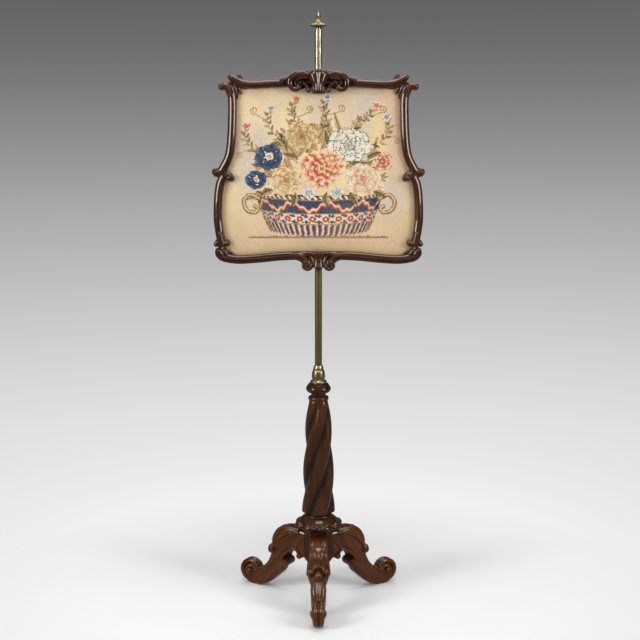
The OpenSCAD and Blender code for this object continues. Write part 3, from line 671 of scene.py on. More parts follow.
def make_column():
    """The rope twist: round strands with sharp hollows, and a plain collar at the head; the broad
    hollows carry painted shade.
    """
    top = COLUMN_LEN
    neck = curve([(27, 0, 0), (27.4, 2.4, 0.1), (32, 4, 0.5), (40, 7, 0.9)], 4)[:-1]
    swell = curve([(40, 7, 0.9), (43, 15, 1), (40.1, top * 0.34, 1), (34.5, top * 0.73, 1),
                   (28, top - 22, 0.8), (24.2, top - 10, 0)], 20)
    collar = curve([(24.2, top - 9.5, 0), (25.8, top - 7.5, 0), (26.2, top - 5, 0),
                    (25.8, top - 2.5, 0), (24.2, top, 0)], 4)
    a = np.linspace(0, TAU, COLUMN_SIDES, endpoint=False)
    wave = 1 - np.abs(np.cos(a * STRANDS / 2)) ** 1.15
    rings, depths = [], []
    for r, z, share in np.r_[neck, swell, collar]:
        reach = r * (1 - GROOVE * np.clip(share, 0, 1) * wave)
        # painted shade: low relief values across the hollows make the wood colour darken them
        depths.append(0.6 - 0.46 * share * wave)
        turn = a + TAU * z / TWIST_PITCH
        rings.append(np.c_[reach * np.cos(turn), reach * np.sin(turn),
                           np.full(COLUMN_SIDES, COLUMN_Z + z)])
    piece = mesh_object("spiral_column", [skin(rings)])
    add_attribute(piece.data, "relief", "FLOAT", np.concatenate(depths))
    settle_wood(piece, "column", "stand", column_walnut, (0, 0, 1), 1.3)


make_legs()
make_dome()
make_column()


# SCREEN FRAME
# Paths run clockwise as seen from the front, as x and the height above the bottom sight edge.

PANEL_LIP = 6.0
PANEL_GAP = 0.3
SIGHT_Z = 914.0
SIGHT_H = 403.0
HALF_TOP = 200.0
HALF_LOW = 239.0
WAIST = 163.0
STILE_HALF = 10.5
RAIL_HALF = 11.0
FRAME_BACK = -15.0
FRAME_FRONT = -41.0
REBATE_Y = -27.4
CREST_FRONT = -50.0
CREST_BACK = -18.0

# Sight edges of the right half
TOP_EDGE = np.add([(0, 0), (75, -0.5), (122, -3), (158, -4.5), (176, -3.5)], [0, SIGHT_H])
UPPER_EDGE = np.add([(0, -36), (1, -83), (3, -120), (7, -156), (14, -180)], [HALF_TOP, SIGHT_H])
LOWER_EDGE = np.add([(-8, -12), (-1, -37), (0, -62), (0, -86), (-3, -111), (-6, -129)],
                    [HALF_LOW, WAIST])
BOTTOM_EDGE = np.add([(-19, -7), (-42, -10), (-90, -7), (-139, -2), (-189, 0), (-HALF_LOW, 0)],
                     [HALF_LOW, 0])
# Planes of the joints between stiles and rails
CORNER = np.array([HALF_TOP - 10, 0, SIGHT_Z + SIGHT_H - 18])
CORNER_COS, CORNER_SIN = swing(41)
CORNER_UP = np.array([-CORNER_SIN, 0, CORNER_COS])
LOW_JOINT = (0, 0, SIGHT_Z + 9.5)

# Section of the moulding across its width: how far it falls back from the ridge, in half widths
SECTION = [(1, 1.08), (0.99, 0.8), (0.945, 0.62), (0.87, 0.49), (0.76, 0.375), (0.62, 0.272),
           (0.45, 0.17), (0.28, 0.085), (0.14, 0.03), (0, 0)]
SECTION += [(-u, drop) for u, drop in SECTION[-2::-1]]
PATH_STEPS = 8


def flip(path):
    """The other half of a path, with its first column turned round."""
    return np.c_[-path[::-1, 0], path[::-1, 1:]]


def beside(edge, half):
    """Rows of a moulding's centre line beside a sight edge: x, height, half width and front."""
    n = len(edge)
    return np.c_[edge + left_of(tangents(edge)) * half, np.full(n, half), np.full(n, FRAME_FRONT)]


def roll(rows, back=FRAME_BACK):
    """A ridged moulding with rounded ends, through rows of x, height, half width and front."""
    rows = curve(rows, PATH_STEPS)
    along = tangents(rows[:, :2])
    rings = [(r[:2], r[2], r[3], t) for r, t in zip(rows, along)]
    for c, s in map(swing, (26, 52, 76)):
        for place, way in ((0, -1), (-1, 1)):
            (x, z, half, front), t = rows[place], along[place]
            ring = (np.array([x, z]) + way * t * half * s, half * c, front + half * (1 - c), t)
            rings.insert(0 if way < 0 else len(rings), ring)
    out = []
    for p, half, front, t in rings:
        n = np.array([-t[1], t[0]]) * half
        face = [(*(p + n * u), front + half * drop) for u, drop in SECTION]
        out.append([(*(p + n), back), *face, (*(p - n), back)])
    return skin(out)


class Carving:
    """Parts given as x and height from a place, and as depth behind a front."""

    def __init__(self, x, z, front=FRAME_FRONT, back=FRAME_BACK):
        self.at = np.array([x, z])
        self.front, self.back = front, back

    def rows(self, rows):
        """Rows of x, height, half width and front."""
        return np.add(rows, [*self.at, 0, self.front])

    def roll(self, rows):
        return roll(self.rows(rows), self.back)

    def lobe(self, a, ra, b, rb, depth=0):
        """A lobe between two round ends, domed towards the front."""
        a, b, front = self.at + a, self.at + b, self.front + depth
        gap = b - a
        length = max(np.linalg.norm(gap), 1e-6)
        way = math.atan2(gap[1], gap[0])
        apart = length > abs(ra - rb)
        lean = math.acos(np.clip((ra - rb) / length, -1, 1)) if apart else 0.0
        first = way + np.linspace(lean, TAU - lean, 18)
        second = way + np.linspace(-lean, lean, 18)
        height = min(max(ra, rb), self.back - front - 1)
        rings = []
        for shrink, rise in map(swing, (0, 15, 30, 45, 58, 70, 80, 87)):
            outline = np.r_[a + ra * shrink * np.c_[np.cos(first), np.sin(first)],
                            b + rb * shrink * np.c_[np.cos(second), np.sin(second)]]
            depths = [front + height * (1 - rise)]
            for y in depths if rings else [self.back] + depths:
                rings.append(np.c_[outline, np.full(len(outline), y)])
        return skin(rings)

    def knob(self, at, r, depth=0):
        return self.lobe(at, r, at, r - 0.1, depth)

    def strand(self, flat, radius, start, end, sides):
        depth = np.linspace(self.front + start, self.front + end, len(flat))
        return tube(np.c_[flat, depth], radius, sides)

    def rope(self, rows, start, end, sides=18):
        """A round strand through rows of x, height and radius, with its depth at both ends."""
        rows = curve(np.add(rows, [*self.at, 0]), PATH_STEPS)
        return self.strand(rows[:, :2], rows[:, 2], start, end, sides)

    def volute(self, at, r, depth, start, turns):
        """A low ridge that winds in to the eye of a round end."""
        line = spiral(self.at + at, r - 2.2, 1.8, start, turns, 60)
        return self.strand(line, np.linspace(2.6, 2.2, len(line)), depth + 4.0, depth + 1.0, 12)


AT_TOP = Carving(0, SIGHT_H)
AT_WAIST = Carving(HALF_LOW, WAIST)
AT_LOW = Carving(HALF_LOW, 0)
AT_CREST = Carving(0, SIGHT_H, CREST_FRONT, CREST_BACK)
AT_APRON = Carving(0, 0, CREST_FRONT, CREST_BACK)


def sight_outline():
    """The opening that the frame leaves for the panel, as closed points."""
    half = np.r_[curve(TOP_EDGE, 4), [[HALF_TOP - 6, SIGHT_H - 16]], curve(UPPER_EDGE, 4),
                 curve(LOWER_EDGE, 4), curve(BOTTOM_EDGE, 4)]
    return np.r_[half, flip(half[1:-1])]


def inside_panel(x, z, by):
    """Whether points lie inside the panel's outline, grown by a distance."""
    edge = sight_outline()
    edge = edge + by * left_of(unit(np.roll(edge, -1, 0) - np.roll(edge, 1, 0)))
    inside = np.zeros(len(x), bool)
    for (x0, z0), (x1, z1) in zip(edge, np.roll(edge, -1, 0)):
        if z0 != z1:
            inside ^= ((z0 > z) != (z1 > z)) & (x < (x1 - x0) * (z - z0) / (z1 - z0) + x0)
    return inside


def carve(node, parts, grain, offset, cuts=(), back=FRAME_BACK, voxel=0.9):
    """Fuses parts of x, height and depth, keeps them off the panel and cuts them at the joints."""
    parts = [(p[:, [0, 2, 1]] + [0, 0, SIGHT_Z], faces) for p, faces in parts]
    piece = mesh_object("carved_" + node, parts)
    fuse(piece, voxel, 3)
    points = read_points(piece.data)
    points[:, 1] = np.minimum(points[:, 1], back)
    behind = inside_panel(points[:, 0], points[:, 2] - SIGHT_Z, PANEL_LIP + PANEL_GAP)
    points[behind, 1] = np.minimum(points[behind, 1], REBATE_Y)
    write_points(piece.data, points)
    for point, normal in cuts:
        cut(piece, point, normal)
    mark_relief(piece)
    settle_wood(piece, node, "screen", walnut, grain, offset)


def corner_fan():
    """The leaf in the corner: fingers that spread from the joint over the edge of the panel."""
    fingers = [(5, (214, -1, 5), (208, -16, 4.4), (204, -36, 2.4)),
               (7, (207, 0, 5), (201, -12, 4.2), (198, -27, 2.2)),
               (8, (203, 3, 5), (195, -5, 4), (189, -16, 2.2)),
               (9, (199, 4, 5), (187, -1, 4), (172, -4, 2.2))]
    fan = [AT_TOP.rope(rows, depth, depth + 4) for depth, *rows in fingers]
    return fan + [AT_TOP.lobe((212, 5), 9, (196, 2), 9, 10)]


def make_top_rail():
    """The rail sweeps up into a horn at either end, with a small curl behind it."""
    h, f = SIGHT_H, FRAME_FRONT
    rail = beside(np.insert(TOP_EDGE, [1, 2], [[50, h], [92, h - 1.2]], 0), RAIL_HALF)
    rail[:, 3] = np.interp(rail[:, 0], [0, 62, 90], [f + 13, f + 13, f])
    horn = [(191, 10.5, 10.6, 0), (203, 16.5, 9.8, 0), (212.5, 22.5, 8.4, 0.5)]
    rows = np.r_[rail, AT_TOP.rows(horn)]
    right = [AT_TOP.knob((194, 26), 5.6, 6), AT_TOP.lobe((192, 24), 5, (184, 16), 7, 7),
             AT_TOP.lobe((112, 9.5), 8.5, (66, 20), 9, 2)] + corner_fan()
    carve("top_rail", [roll(np.r_[flip(rows[1:]), rows])] + both(right), (1, 0, 0), 1.7,
          [(CORNER, -CORNER_UP), (CORNER * MIRROR, -CORNER_UP * MIRROR)])


def make_bottom_rail():
    """The rail turns up at either end, with short fingers under the stile."""
    f = FRAME_FRONT
    rail = beside(BOTTOM_EDGE[1:], RAIL_HALF)
    rail[:, 3] = np.interp(rail[:, 0], [0, 30, 60], [f + 5, f + 5, f])
    turn = [(10, 0, 8.6, 0), (8.5, -6, 10, 0), (1, -13.5, 10.8, 0), (-14, -18, 11, 0)]
    rows = np.r_[AT_LOW.rows(turn), rail]
    right = [AT_LOW.lobe((9, 1), 7.5, (5, -7), 8, -1), AT_LOW.lobe((-4, 1), 6.5, (-8, -8), 7, 1),
             AT_LOW.lobe((-15, -3), 5, (-26, -9), 4, 5)]
    carve("bottom_rail", [roll(np.r_[rows, flip(rows[:-1])])] + both(right),
          (1, 0, 0.02), 2.1, [(LOW_JOINT, (0, 0, 1))])


def stile_parts():
    """The right stile: a ball on top, two curls that cross at the waist, and balls at the foot."""
    head = [(236, 0.5, 8.8, 0.5), (229, 2.5, 9.3, 0), (220, -4, 10, 0), (213, -19, 10.5, 0)]
    outer = [(-3.5, 42, 10.5, 0), (4, 31.5, 10, 0), (13, 30.5, 9.5, 0)]
    inner = [(-24, 17.5, 8.4, 0), (-17, 24.5, 9.2, 0), (-6.5, 22, 10, 0), (2.5, 8, 10.5, 0),
             (7, -12, 10.5, 0)]
    foot = [(2, 20, 10.5, 0), (1, 12, 10, 0)]
    upper = np.r_[AT_TOP.rows(head), beside(UPPER_EDGE, STILE_HALF), AT_WAIST.rows(outer)]
    lower = np.r_[AT_WAIST.rows(inner), beside(LOWER_EDGE[1:], STILE_HALF), AT_LOW.rows(foot)]
    parts = [roll(upper), roll(lower), AT_TOP.knob((236, 0.5), 9.2, -0.5)]
    parts += [AT_LOW.knob((-12, 21), 8.6, -1), AT_LOW.lobe((2, 19), 9.6, (5, 43), 7, -3.5),
              AT_LOW.lobe((15.5, 17.5), 6.6, (12, 22), 7, 3)]
    for eye, r, start in (((14.5, 33.5), 9.6, 120), ((-22, 19), 9, 300)):
        parts += [AT_WAIST.knob(eye, r, -1), AT_WAIST.volute(eye, r, -1, start, 1.4)]
    return parts + corner_fan()


def make_stiles():
    right = stile_parts()
    low = (LOW_JOINT, (0, 0, -1))
    carve("right_stile", right, (0.05, 0, 1), 2.6, [(CORNER, CORNER_UP), low])
    carve("left_stile", mirrored(right), (-0.05, 0, 1), 3.1,
          [(CORNER * MIRROR, CORNER_UP * MIRROR), low])


SHELL_FLUTES = 4


def make_crest():
    """The shell between two C scrolls, over the middle of the top rail."""
    c = AT_CREST
    arm = [(24, 29, 6.6), (41, 32, 7.6), (57, 28, 7.6), (67.5, 18.5, 7.4), (69.5, 7, 7),
           (64.5, -3, 6.6), (55.5, -6.5, 6.2), (48, -3.5, 5.6), (48.5, 2, 4.8)]
    inner = [(28, 21, 3), (43, 21.5, 3.8), (53, 16.5, 4), (57, 8, 3.6), (54, 1.5, 2.6)]
    right = [c.rope(arm, 8, 6.5), c.rope(arm, 17, 17), c.rope(inner, 11, 10, 14),
             c.lobe((44, 13), 19, (50, 11), 18, 18), c.knob((45.5, 10), 4.6, 9),
             c.knob((25, -8.5), 6.6), c.lobe((23, -4), 4.5, (35, 8), 4, 8)]
    fan = []
    for s in np.arange(SHELL_FLUTES) - (SHELL_FLUTES - 1) / 2:
        d = 0.8 * abs(s)
        fan.append(c.roll([(s * 5.8, -9 + abs(s), 4.4, d + 1.6), (s * 7.6, 8, 5.4, d + 1.2),
                           (s * 11.8, 25, 7.6, d - 1.2), (s * 15, 34 - 1.6 * abs(s), 9, d - 2.2)]))
    fan += [c.lobe((0, -5), 10, (0, 22), 23, 12), c.lobe((-18, 27), 12, (18, 27), 12, 11),
            c.lobe((-12, -12), 4.6, (12, -12), 4.6, 3)]
    carve("crest", both(right) + fan, (1, 0, 0.1), 3.7, back=CREST_BACK, voxel=0.75)


def make_apron():
    """The bell between two volutes that the rail runs down into."""
    c = AT_APRON
    sweep = [(78, -11, 9.5), (60, -11, 10.5), (46, -13.5, 11.5), (36, -19, 12), (29, -27, 12.4),
             (27.5, -32.5, 12.4)]
    coil = [(20, -13, 3.4), (16.4, -21, 4), (14.6, -31, 4.4), (18.4, -40, 4.6), (27, -44, 4.6),
            (35.6, -40, 4.4), (37.4, -32.5, 4), (32.6, -27.4, 3.6), (27, -29, 3.2)]
    right = [c.rope(sweep, 21, 17), c.rope(coil, 9, 6, 16), c.knob((28, -34), 4.6, 4),
             c.rope([(12, -24, 2.6), (17, -13, 3.6), (27, -4.5, 4.4)], 10, 10, 14),
             c.rope([(9, -24, 3), (11.5, -12, 3.8), (15.5, -3.5, 4.8)], 8, 7, 14)]
    bell = [c.roll([(k * 8, -4, 5.6, 1), (k * 5.5, -13, 5.4, 2), (k * 4.8, -26, 5.6, 1),
                    (k * 5, -38, 7, -1.5)]) for k in (-0.8, 0, 0.8)]
    bell.append(c.lobe((0, -12), 13, (0, -37), 8, 10))
    carve("apron", both(right) + bell, (1, 0, -0.1), 4.2, back=CREST_BACK, voxel=0.75)


make_top_rail()
make_bottom_rail()
make_stiles()
make_crest()
make_apron()


# NEEDLEWORK
# A motif's wools are given by their names.

STITCH = 2.2
STITCH_RISE = 0.42
STITCH_LIP = PANEL_LIP - 1.2
NEEDLEWORK_Y = -26.3
LINING_STEP = 3.5
LINING_LIP = PANEL_LIP - 2
LINING_Y = -16.1
KEY_STEP = 10000

WOOL = {name: np.array(srgb(*rgb)[:3]) for name, rgb in dict(
    cream=(230, 208, 170), straw=(230, 204, 146), blush=(220, 186, 160), drab=(204, 190, 172),
    sand=(210, 182, 140), tan=(192, 160, 112), ochre=(170, 132, 78), olive=(126, 114, 70),
    moss=(86, 82, 52), black=(40, 35, 34), navy=(28, 44, 70), blue=(46, 80, 114),
    sky=(118, 144, 164), ivory=(232, 222, 198), pearl=(208, 204, 188), grey=(160, 158, 144),
    slate=(92, 96, 90), red=(178, 48, 50), rust=(200, 92, 66), pink=(222, 160, 132),
    brown=(124, 88, 60), mauve=(156, 118, 102)).items()}


def chance(x, z, seed):
    """A number from 0 to 1 for each stitch, in no order and the same on every run."""
    i, j = np.round(x / STITCH), np.round(z / STITCH)
    spread = np.sin(i * 127.1 + j * 311.7 + seed * 74.7) * 43758.5453
    return spread - np.floor(spread)


def ripple(x, z, seed, size):
    """A smooth field from -1 to 1 that is the same on every run."""
    total = 0.0
    for k in range(1, 6):
        a = seed * 1.7 + k * 2.399
        along = (x * math.cos(a) + z * math.sin(a)) * TAU
        total = total + np.sin(along / (size * (0.6 + 0.23 * k)) + seed * k)
    return total / 5


def edge_distance(x, z):
    """How far each stitch lies from the edge of the opening."""
    edge = sight_outline()
    near = np.full(len(x), FAR)
    for p, q in zip(edge, np.roll(edge, -1, 0)):
        way = q - p
        t = ((x - p[0]) * way[0] + (z - p[1]) * way[1]) / max(way @ way, 1e-9)
        t = np.clip(t, 0, 1)
        near = np.minimum(near, np.hypot(x - p[0] - t * way[0], z - p[1] - t * way[1]))
    return near


class Canvas:
    """The stitches of the panel, painted one motif over another."""

    STRIPES_TOP, FLORETS_TOP, FLAMES_TOP, RIM_TOP = 80, 106, 140, 152
    FLORETS = ((0, 0, 0.27, "red"), (0, 0, 0.1, "straw"), (0.5, 0.28, 0.16, "blue"),
               (0.5, -0.28, 0.16, "blue"), (0.26, 0.34, 0.1, "navy"), (-0.26, -0.34, 0.1, "red"),
               (0.24, -0.3, 0.09, "olive"))
    HANDLE = ((150, 130), (172, 140), (187, 124), (180, 102), (160, 96), (152, 106), (160, 112))
    LEAN = 0.86

    def __init__(self, x, z):
        self.x, self.z = x, z
        self.colour = np.tile(WOOL["cream"], (len(x), 1))

    def chance(self, seed):
        return chance(self.x, self.z, seed)

    def paint(self, mask, name):
        self.colour[mask] = WOOL[name]

    def tint(self, name, share):
        self.colour += (WOOL[name] - self.colour) * share[:, None]

    def shade(self, mask, value, names, seed, loose=0.4):
        """Paints a mask: value from 0 to 1 picks the wool, with a broken edge between two."""
        names = names.split()
        value = value * len(names) + loose * (self.chance(seed) - 0.5)
        step = np.clip(np.floor(value), 0, len(names) - 1).astype(int)
        for k, name in enumerate(names):
            self.paint(mask & (step == k), name)

    def local(self, foot, heading):
        """Places along and across a heading from a foot."""
        c, s = math.cos(heading), math.sin(heading)
        dx, dz = self.x - foot[0], self.z - foot[1]
        return dx * c + dz * s, dz * c - dx * s

    def ground(self):
        """The faded ground: patches of several creams, tan below, and painted shade in brown along
        the frame and towards the right.
        """
        x, z = self.x, self.z
        patches = (("blush", 8, 200, 0.9), ("straw", 5, 150, 0.85), ("drab", 13, 170, 0.85))
        for name, seed, size, share in patches:
            self.tint(name, np.clip(1.8 * ripple(x * 1.5, z * 0.6, seed, size), 0, 1) * share)
        self.tint("sand", 0.8 * np.clip((120 - z) / 100, 0, 1))
        near = edge_distance(x, z)
        # painted shade: brown darkening close to the frame's edge, and a little towards the right
        # side
        frame_shade = (0.42 * np.exp(-near / 6) + 0.16 * np.exp(-near / 24)
                 + 0.06 * np.clip((x - 150) / 70, 0, 1))
        self.colour *= 1 - frame_shade[:, None] * [0.62, 0.74, 0.86]
        stain = np.clip(ripple(x, z, 11, 60) - 0.55, 0, 1)[:, None]
        self.colour *= 1 - 0.4 * stain * [0.6, 0.9, 1.3]

    def petal(self, foot, heading, length, width, names, seed, outline, point):
        """A petal, dark at its root and pale at its rim; point makes its end sharper."""
        along, across = self.local(foot, heading)
        t, v = along / length, across / width
        reach = np.sin(np.pi * np.clip(t, 0, 1) ** (1.7 - 0.9 * point)) ** (0.5 + 0.4 * point)
        mask = (t > 0) & (t < 1) & (np.abs(v) < reach)
        light = (t - 0.25) / 0.75 + 0.07 * np.sin(v * 5 + seed) - 0.2 * np.abs(v)
        self.shade(mask, light, names, seed, 0.7)
        if outline:
            rim = (np.abs(v) > reach - 2.0 / width) | (t > 1 - 2.1 / length)
            self.paint(mask & rim & (self.chance(seed + 3) < 0.8), outline)

    def bloom(self, at, size, rings, names, outline, heart, spin, point=0.0):
        """A full flower: rings of petals from the outermost in, seen a little from the side."""
        for k, count in enumerate(rings):
            share = 1 - k / (len(rings) + 0.5)
            for j in range(count):
                a = spin + TAU * (j + 0.5 * (k % 2)) / count
                way = np.array([math.cos(a), self.LEAN * math.sin(a)])
                reach = size * share * np.hypot(*way) * (1 + 0.1 * math.sin(5 * j + 2 * k))
                width = size * share * (2.7 - 0.6 * point) / count ** 0.95
                self.petal(at + way * size * share * 0.1, math.atan2(way[1], way[0]), reach * 0.92,
                           width, names, 7 * k + j, outline, point)
        along, across = self.local(at, 0.0)
        from_heart = np.hypot(along, across / self.LEAN)
        self.shade(from_heart < size * 0.17, from_heart / (size * 0.17), heart, 2, 1.0)

    def leaf(self, foot, heading, length, width, names, rib, seed):
        """A pointed leaf with a rib, saw teeth and slanting veins."""
        along, across = self.local(foot, heading)
        t = along / length
        inner = np.clip(t, 0, 1)
        across = across - 0.14 * length * np.sin(np.pi * inner) * math.sin(seed * 2.1)
        reach = width * np.sin(np.pi * inner ** 0.75) * (1 - 0.18 * (t * 6 % 1))
        mask = (t > 0) & (t < 1) & (np.abs(across) < reach)
        veins = np.sin((along - 1.2 * np.abs(across)) * TAU / 9)
        self.shade(mask, 0.5 + 0.25 * np.sign(across) + 0.25 * veins, names, seed)
        self.paint(mask & (np.abs(across) < 1.2), rib)

    def stem(self, points, width, name):
        path = curve(points, 14)
        near = np.full(len(self.x), FAR)
        for p in path:
            near = np.minimum(near, (self.x - p[0]) ** 2 + (self.z - p[1]) ** 2)
        self.paint(near < width * width, name)
        return path

    def bowl(self):
        """A broad bowl with four bands: stripes, florets, flames and dashes on the rim."""
        x, z = self.x - 2, self.z
        half = 98 + 58 * np.clip((z - 30) / 104, 0, 1) ** 0.55
        side = np.clip(x / half, -1, 1)
        level = z + 14 * np.sqrt(1 - side ** 2)
        turn = np.arcsin(side) / math.pi
        inside = np.abs(x) < half
        hem = 50 + 5 * np.abs(np.sin(turn * 26 * math.pi))
        band = lambda low, high: inside & (level >= low) & (level < high)
        self.shade(inside & (level > hem) & (level < self.STRIPES_TOP), turn * 26 % 1,
                   "navy blue red sand ivory sand black", 21, 1.2)
        florets = band(self.STRIPES_TOP, self.FLORETS_TOP)
        self.shade(florets, self.chance(22), "drab ivory ivory cream", 23)
        u, v = turn * 13 % 1 - 0.5, (level - 93) / 26
        for du, dv, size, name in self.FLORETS:
            spot = np.hypot((u - du + 0.5) % 1 - 0.5, v - dv) < size
            self.paint(florets & spot, name)
        flames = band(self.FLORETS_TOP, self.FLAMES_TOP)
        scale = (np.floor(turn * 46) + np.floor(level / 4.5)) % 2
        self.shade(flames, 0.32 * scale + 0.5 * self.chance(24), "navy navy blue blue", 25)
        above = level - (122 + 10 * np.sin(turn * TAU * 5) + 3 * np.sin(turn * TAU * 21))
        tongue = flames & (np.abs(above) < 6.5)
        self.shade(tongue, 0.5 + above / 13, "red rust straw cream rust", 26)
        self.shade(band(self.FLAMES_TOP, self.RIM_TOP), (turn * 30 + level / 20) % 1,
                   "navy blue ivory ivory red", 27)
        for edge in (self.STRIPES_TOP, self.FLORETS_TOP, self.FLAMES_TOP, self.RIM_TOP - 1):
            line = inside & (np.abs(level - edge) < 1.3)
            self.paint(line, "black" if edge > self.FLAMES_TOP else "ochre")
        body = inside & (level > hem) & (level < self.RIM_TOP)
        self.colour[body] *= (1 - 0.4 * side[body, None] ** 4)

    def handle(self, way):
        """A scrolled handle at one end of the bowl."""
        for width, name, shift in ((5.2, "brown", 0), (3.4, "ochre", 0.8), (1.4, "straw", 1.4)):
            self.stem([(way * px + 2, pz + shift) for px, pz in self.HANDLE], width, name)


PALE, GREEN = "ochre tan sand tan", "moss olive ochre tan"
BLUE, EYE = "ivory navy navy blue blue sky", "black straw ochre"
SPRAYS = [
    [(-84, 270), (-112, 292), (-126, 326), (-116, 352)],
    [(-34, 300), (-58, 322), (-66, 350), (-54, 374)],
    [(10, 300), (20, 330), (12, 356), (22, 378)],
    [(84, 296), (100, 320), (124, 334), (142, 358)],
    [(128, 262), (160, 276), (174, 304), (168, 330)],
    [(-128, 240), (-160, 252), (-180, 280), (-178, 308)]]
# Two points of a tendril, and the place, size, start and turns of its spiral
TENDRILS = [
    ((118, 332), (138, 336), (158, 350), 11, 240, 1.5),
    ((-126, 324), (-142, 330), (-158, 346), 11, 300, -1.5),
    ((-60, 330), (-40, 334), (-22, 350), 10, 240, 1.5),
    ((16, 336), (36, 338), (56, 352), 11, 240, 1.5),
    ((-160, 252), (-180, 248), (-194, 236), 9, 60, 1.4),
    ((166, 284), (184, 284), (194, 272), 9, 120, -1.4)]
# Place, size, petals in each ring, wools, outline, heart, spin and how pointed the petals are
BLOOMS = [
    ((-40, 284), 40, (9, 8, 6, 5), "brown ochre tan sand straw", "ochre", "brown ochre", 0.3),
    ((-122, 234), 36, (7, 5), BLUE, "navy", EYE, 0.9),
    ((158, 222), 25, (6, 5), "brown rust pink ivory pink", "rust", "straw ochre", 1.4),
    ((-154, 178), 26, (6, 5), BLUE, "navy", EYE, 0.2),
    ((110, 178), 46, (7, 6, 5, 4), "mauve pink blush cream ivory", "tan", "rust pink", 2.0),
    ((-80, 176), 42, (7, 6, 5, 4), "ochre tan sand straw cream", "ochre", "rust ochre", 0.7),
    ((76, 262), 52, (9, 8, 7, 5, 4), "slate grey pearl ivory ivory pearl", "slate",
     "olive straw grey", 0.5),
    ((8, 204), 60, (15, 13, 10, 8, 6), "red red rust pink straw cream", None, "olive ochre straw",
     1.1, 0.6)]
BUDS = [((-26, 144), 15), ((46, 146), 17), ((-122, 150), 14), ((152, 158), 14)]
# Place and heading of the leaves over the rim
RIM_LEAVES = [(-112, 152, -150), (-52, 232, 165), (136, 148, -25), (20, 146, -80), (-56, 144, -105),
              (120, 232, 20), (-78, 250, 130), (78, 146, -60), (22, 262, 95)]


def needlework_design(x, z):
    """The colour of each stitch: mixed flowers in a broad bowl, on a faded ground."""
    c = Canvas(x, z)
    c.ground()
    c.paint((np.abs(z - 34) < 2.2) & (np.abs(x) < 176), "mauve")
    c.paint((np.abs(z - 38) < 1.6) & (np.abs(x) < 168) & (c.chance(3) < 0.5), "brown")
    for k in range(64):
        a = math.radians(-8 + k * 196 / 63)
        ring = 0.62 + 0.62 * (k * 0.618 % 1)
        foot = (4 + 116 * ring * math.cos(a), 168 + 112 * ring * math.sin(a))
        c.leaf(foot, a + 0.8 * math.sin(k * 2.4), 46 + 14 * math.sin(k * 1.9), 10 + 3 * math.sin(k),
               PALE if k % 5 else GREEN, "brown" if k % 3 else "moss", k)
    for k, points in enumerate(SPRAYS):
        path = c.stem(points, 1.3, "olive" if k % 2 else "brown")
        for j, p in enumerate(path[4::3]):
            way = path[min(4 + 3 * j + 1, len(path) - 1)] - p
            heading = math.atan2(way[1], way[0]) if np.hypot(*way) else 1.5
            c.leaf(p, heading + (0.85 if j % 2 else -0.85), 19 - 0.5 * j, 4.2,
                   "ochre tan sand" if j % 3 else "moss olive", "ochre" if j % 4 else "black", j)
        c.bloom(path[-1], 9, [5], "rust pink ivory" if k % 2 else "sky pearl ivory", None,
                "ochre tan", k)
    for first, second, at, size, start, turns in TENDRILS:
        c.stem([first, second, *spiral(at, size, 2.5, start, turns, 12)], 1.25, "ochre")
    c.bowl()
    c.handle(-1)
    c.handle(1)
    for bloom in BLOOMS:
        c.bloom(*bloom)
    for at, size in BUDS:
        names = "sky pearl ivory" if size % 2 else "pink ivory blush"
        c.bloom(at, size, [6, 5], names, None, "ochre straw", size)
    for k, (px, pz, turn) in enumerate(RIM_LEAVES):
        c.leaf((px, pz), math.radians(turn), 38, 9.5, GREEN, "black", k + 50)
    return c.colour


def cloth_cells(step, by):
    """Square cells inside the panel's outline grown by a distance.

    Gives their centres, their shared corners and the four corner numbers of each.
    """
    reach = (HALF_LOW + by + 4, by + 18, SIGHT_H + by + 8)
    across, low, high = (math.ceil(d / step) for d in reach)
    grid = np.meshgrid(np.arange(-across, across + 1), np.arange(-low, high + 1))
    i, j = (g.ravel() for g in grid)
    keep = inside_panel(i * step, j * step, by)
    i, j = i[keep], j[keep]
    keys = np.stack([(i + a) * KEY_STEP + (j + b) for a, b in ((0, 0), (1, 0), (1, 1), (0, 1))], 1)
    found, cells = np.unique(keys, return_inverse=True)
    ci = np.round(found / KEY_STEP).astype(int)
    corners = (ci - 0.5) * step, (found - ci * KEY_STEP - 0.5) * step
    return (i * step, j * step), corners, cells.reshape(keys.shape)


def wool_material():
    """Worsted wool: one colour to a stitch, fibres along the stitch and a soft sheen."""
    s = Shader("needlework")
    fibre = s.noise(s.tilted(45), (500, 500, 3200), 3.0)
    dust = s.ramp(s.noise(s.place(), 9.0, 4.0), (0.45, 0.0), (0.75, 0.22))
    aged = s.mix(dust, s.attribute("wool", "Color"), srgb(178, 148, 104))
    s.set(Base_Color=s.mix(s.ramp(fibre, (0.3, 0.3), (0.6, 0.0)), aged, srgb(92, 72, 50)),
          Roughness=0.9, Sheen_Weight=0.25, Sheen_Roughness=0.5, Normal=s.bump(fibre, 0.5, 0.0004))
    return s.material


def backing_material():
    """Plain-woven backing cloth, faded and a little stained."""
    s = Shader("backing")
    warp, weft = (s.math("SINE", s.times(s.axis(name), TAU / 0.0011)) for name in "XZ")
    weave = s.math("ADD", s.times(s.times(warp, weft), 0.5), 0.5)
    slub = s.noise(s.place(), (30, 30, 700), 3.0)
    fade = s.noise(s.place(), 7.0, 4.0, 0.5)
    colour = s.ramp(fade, (0.3, srgb(104, 78, 54)), (0.55, srgb(138, 108, 78)),
                    (0.75, srgb(158, 130, 96)))
    worn = s.times(s.ramp(slub, (0.35, 1.0), (0.6, 0.0)), 0.35)
    colour = s.mix(worn, colour, srgb(84, 62, 42))
    colour = s.mix(s.times(weave, 0.3), colour, srgb(90, 68, 48))
    s.set(Base_Color=colour, Roughness=0.92, Sheen_Weight=0.15, Normal=s.bump(weave, 0.35, 0.0003))
    return s.material


def stretch(corner_x, corner_z, cells):
    """Works out the sheet's width and height in metres, and keeps neither."""
    np.ptp(corner_x) * MM
    np.ptp(corner_z) * MM


